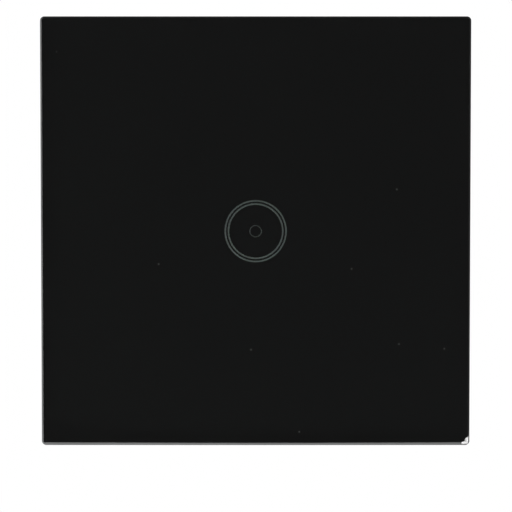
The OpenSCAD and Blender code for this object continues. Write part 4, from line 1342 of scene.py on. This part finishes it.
@dataclass
class CadNodes:
    """The nodes that stay as they are packed, with their finishes and rounded edges."""

    weld: float = 0.001 * MM
    flatness: float = 0.5
    angle: float = 20.0

    def dress(self, node: str, slot: str) -> None:
        """Gives a node the finish of its slot.

        Args:
            node: Name of the node.
            slot: Name of the record's material slot.
        """
        materials = frame["nodes"][node].data.materials
        materials.clear()
        materials.append(FINISHES[slot].material())

    def outward_edges(self) -> bpy.types.NodeTree:
        """Nodes that choose the outward edges for the rounding and mark the inward ones as sharp.

        They come before the rounding, and once more after it for the edges that it makes.

        Returns:
            The group for a node's modifiers.
        """
        tree = bpy.data.node_groups.new("outward_edges", "GeometryNodeTree")
        for way in ("INPUT", "OUTPUT"):
            tree.interface.new_socket("Mesh", in_out=way, socket_type="NodeSocketGeometry")
        graph = Graph(tree, coordinates="")
        turn = graph.node("GeometryNodeInputMeshEdgeAngle", out="Signed Angle")
        least = math.radians(self.angle)
        mesh = graph.node("GeometryNodeSetShadeSmooth", None, {"Geometry": graph.node("NodeGroupInput")})
        for name, kind, chosen in (
            ("bevel_weight_edge", "FLOAT", turn > least),
            ("sharp_edge", "BOOLEAN", (0 - turn) > least),
        ):
            mesh = graph.node(
                "GeometryNodeStoreNamedAttribute",
                {"data_type": kind, "domain": "EDGE"},
                {"Geometry": mesh, "Name": name, "Value": chosen},
            )
        graph.end("NodeGroupOutput", mesh)
        return tree

    def soften(self, node: str, width: float, outward: bpy.types.NodeTree) -> None:
        """Rounds a node's outward edges, on its merged triangles.

        Each becomes a narrow strip, whose normals run from one neighbour's to the other's.

        Args:
            node: Name of the node.
            width: Width of the rounding.
            outward: Nodes that choose the edges.
        """
        modifiers = frame["nodes"][node].modifiers
        merged = modifiers.new("merged", "WELD")
        merged.merge_threshold = self.weld
        flat = modifiers.new("flat", "DECIMATE")
        flat.decimate_type, flat.angle_limit = "DISSOLVE", math.radians(self.flatness)
        modifiers.new("outward", "NODES").node_group = outward
        edges = modifiers.new("edges", "BEVEL")
        edges.width, edges.segments, edges.limit_method = width, 1, "WEIGHT"
        edges.use_clamp_overlap, edges.loop_slide = False, False
        edges.face_strength_mode = "FSTR_ALL"
        modifiers.new("inward", "NODES").node_group = outward
        normals = modifiers.new("normals", "WEIGHTED_NORMAL")
        normals.keep_sharp, normals.use_face_influence = True, True

    def build(self) -> None:
        """Dresses every node and rounds the edges of those that show."""
        for part in frame["record"]["subparts"]:
            self.dress(part["node"], part["material_slot"])
            log.info("%s: finish of %s", part["node"], part["material_slot"])
        outward = self.outward_edges()
        for node, width in EDGE_ROUNDS.items():
            self.soften(node, width, outward)


# Studio


@dataclass
class Softbox:
    """Square area light that looks at the origin. Where mirrored is off, no glossy surface shows it."""

    name: str
    place: tuple[float, float, float]
    size: float
    power: float
    mirrored: bool = True

    def build(self) -> None:
        """Adds the light."""
        light = bpy.data.lights.new(self.name, "AREA")
        light.shape, light.size, light.energy = "SQUARE", self.size, self.power
        lamp = bpy.data.objects.new(self.name, light)
        lamp.location = self.place
        lamp.rotation_euler = Vector(self.place).to_track_quat("Z", "Y").to_euler()
        lamp.visible_camera, lamp.visible_glossy = False, self.mirrored
        bpy.context.scene.collection.objects.link(lamp)


# A key light low on the left, and two wide ones behind, which the plate mirrors softly
SOFTBOXES = (
    Softbox("key", (-0.68, -0.68, -0.71), size=0.5, power=26.0, mirrored=False),
    Softbox("rear_left", (-0.6, 0.75, 0.55), size=1.15, power=4.5),
    Softbox("rear_right", (0.7, 0.65, 0.35), size=0.75, power=2.0),
)


@dataclass
class Studio:
    """White room that is dim in front of the glass, with soft lights, a pale floor and the camera."""

    distance: float = 0.5
    elevation: float = math.radians(2.734)
    pitch: float = math.radians(3.322)
    aside: float = 0.07 * MM
    lens: float = 184.62
    sensor: float = 36.0
    clip: tuple[float, float] = (0.01, 20.0)
    floor_height: float = -0.9
    floor_radius: float = FLOOR.fade_to
    floor_rows: int = 9
    floor_columns: int = 96
    side_glow: float = 0.045
    card_glow: float = 0.085
    card_rim: tuple[float, float] = (-0.9, -0.96)
    rear_glow: float = 0.5
    rear_rim: tuple[float, float] = (0.25, 0.95)

    def world(self) -> None:
        """Makes the room round the part, which is white to the camera.

        To other rays it is dark round the front, with one dim card straight ahead of the glass, and
        brighter behind, with eased changes.
        """
        world = bpy.data.worlds.new("studio")
        world.use_nodes = True
        bpy.context.scene.world = world
        graph = Graph(world.node_tree, "Generated")
        depth = graph.along(Axis.Y)
        card = depth.smooth(*self.card_rim) * self.card_glow
        glow = depth.smooth(*self.rear_rim) * self.rear_glow + card + self.side_glow
        room = graph.node("ShaderNodeBackground", None, {"Color": _rgba(WHITE), "Strength": glow})
        white = graph.node("ShaderNodeBackground", None, {"Color": _rgba(WHITE)})
        seen = graph.node("ShaderNodeLightPath", out="Is Camera Ray")
        both = graph.node("ShaderNodeMixShader", None, {0: seen, 1: room, 2: white})
        graph.end("ShaderNodeOutputWorld", both)

    def floor(self) -> None:
        """Pale round floor well below the part, which throws no light back on it."""
        steps = np.linspace(0, 1, self.floor_rows)[:, None]
        profile = np.hstack([steps * self.floor_radius, np.full_like(steps, self.floor_height)])
        floor = turned(profile, self.floor_columns).piece("floor", (FLOOR,))
        floor.visible_diffuse = False

    def camera(self) -> None:
        """Camera in front of the plate and a little above it."""
        data = bpy.data.cameras.new("camera")
        data.lens, data.sensor_width = self.lens, self.sensor
        data.clip_start, data.clip_end = self.clip
        camera = bpy.data.objects.new("camera", data)
        camera.location = (
            self.aside, -self.distance * math.cos(self.elevation), self.distance * math.sin(self.elevation)
        )
        camera.rotation_euler = (QUARTER_TURN - self.pitch, 0, 0)
        bpy.context.scene.collection.objects.link(camera)
        bpy.context.scene.camera = camera

    def build(self) -> None:
        """Sets up the whole studio."""
        self.world()
        self.floor()
        self.camera()
        for box in SOFTBOXES:
            box.build()
        bpy.context.scene.view_settings.view_transform = "Standard"


def screw_sets() -> list[ScrewSet]:
    """All screws of the switch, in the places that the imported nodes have.

    Returns:
        The sets.
    """
    corners = [(x * 22 * MM, z * 22 * MM) for x in (-1, 1) for z in (-1, 1)]
    box = ScrewSet(
        "box_screws", [(-30 * MM, 0.0), (30 * MM, 0.0)], under_head=-1.2 * MM, reach=23.2 * MM,
        radius=1.75 * MM, pitch=0.6 * MM, head_radius=3.5 * MM, head_height=2.2 * MM, drive=Drive.SLOT,
        neck=1.8 * MM, neck_radius=1.65 * MM, recess_width=1.0 * MM, recess_share=1.2, recess_depth=0.5,
    )
    module = ScrewSet(
        "module_screws", corners, under_head=-4.4 * MM, reach=4.3 * MM,
        radius=1.25 * MM, pitch=0.45 * MM, head_radius=2.25 * MM, head_height=1.5 * MM,
    )
    board = ScrewSet(
        "board_screws", [(-19.5 * MM, -3 * MM), (19.5 * MM, -3 * MM)], under_head=4.8 * MM, reach=6.6 * MM,
        radius=1.1 * MM, pitch=0.4 * MM, head_radius=2.0 * MM, head_height=1.5 * MM,
    )
    terminals = [
        ScrewSet(
            f"terminal_screw_{number}", [(x, -17.95 * MM)], under_head=18.8 * MM, reach=5.55 * MM,
            radius=1.5 * MM, pitch=0.5 * MM, head_radius=2.5 * MM, head_height=1.8 * MM,
            body=f"screw_{number}", facing=Facing.REAR,
        )
        for number, x in enumerate((-9 * MM, 0.0, 9 * MM), start=1)
    ]
    return [box, module, board, *terminals]


def main() -> None:
    """Builds the studio and the pieces."""
    logging.basicConfig(level=logging.INFO, format="%(name)s: %(message)s")
    Studio().build()
    CadNodes().build()
    for part in (GlassPanel(), RelayCoil(), *screw_sets()):
        piece = part.build()
        log.info("%s: %d faces", piece.name, len(piece.data.polygons))


if __name__ == "__main__":
    main()
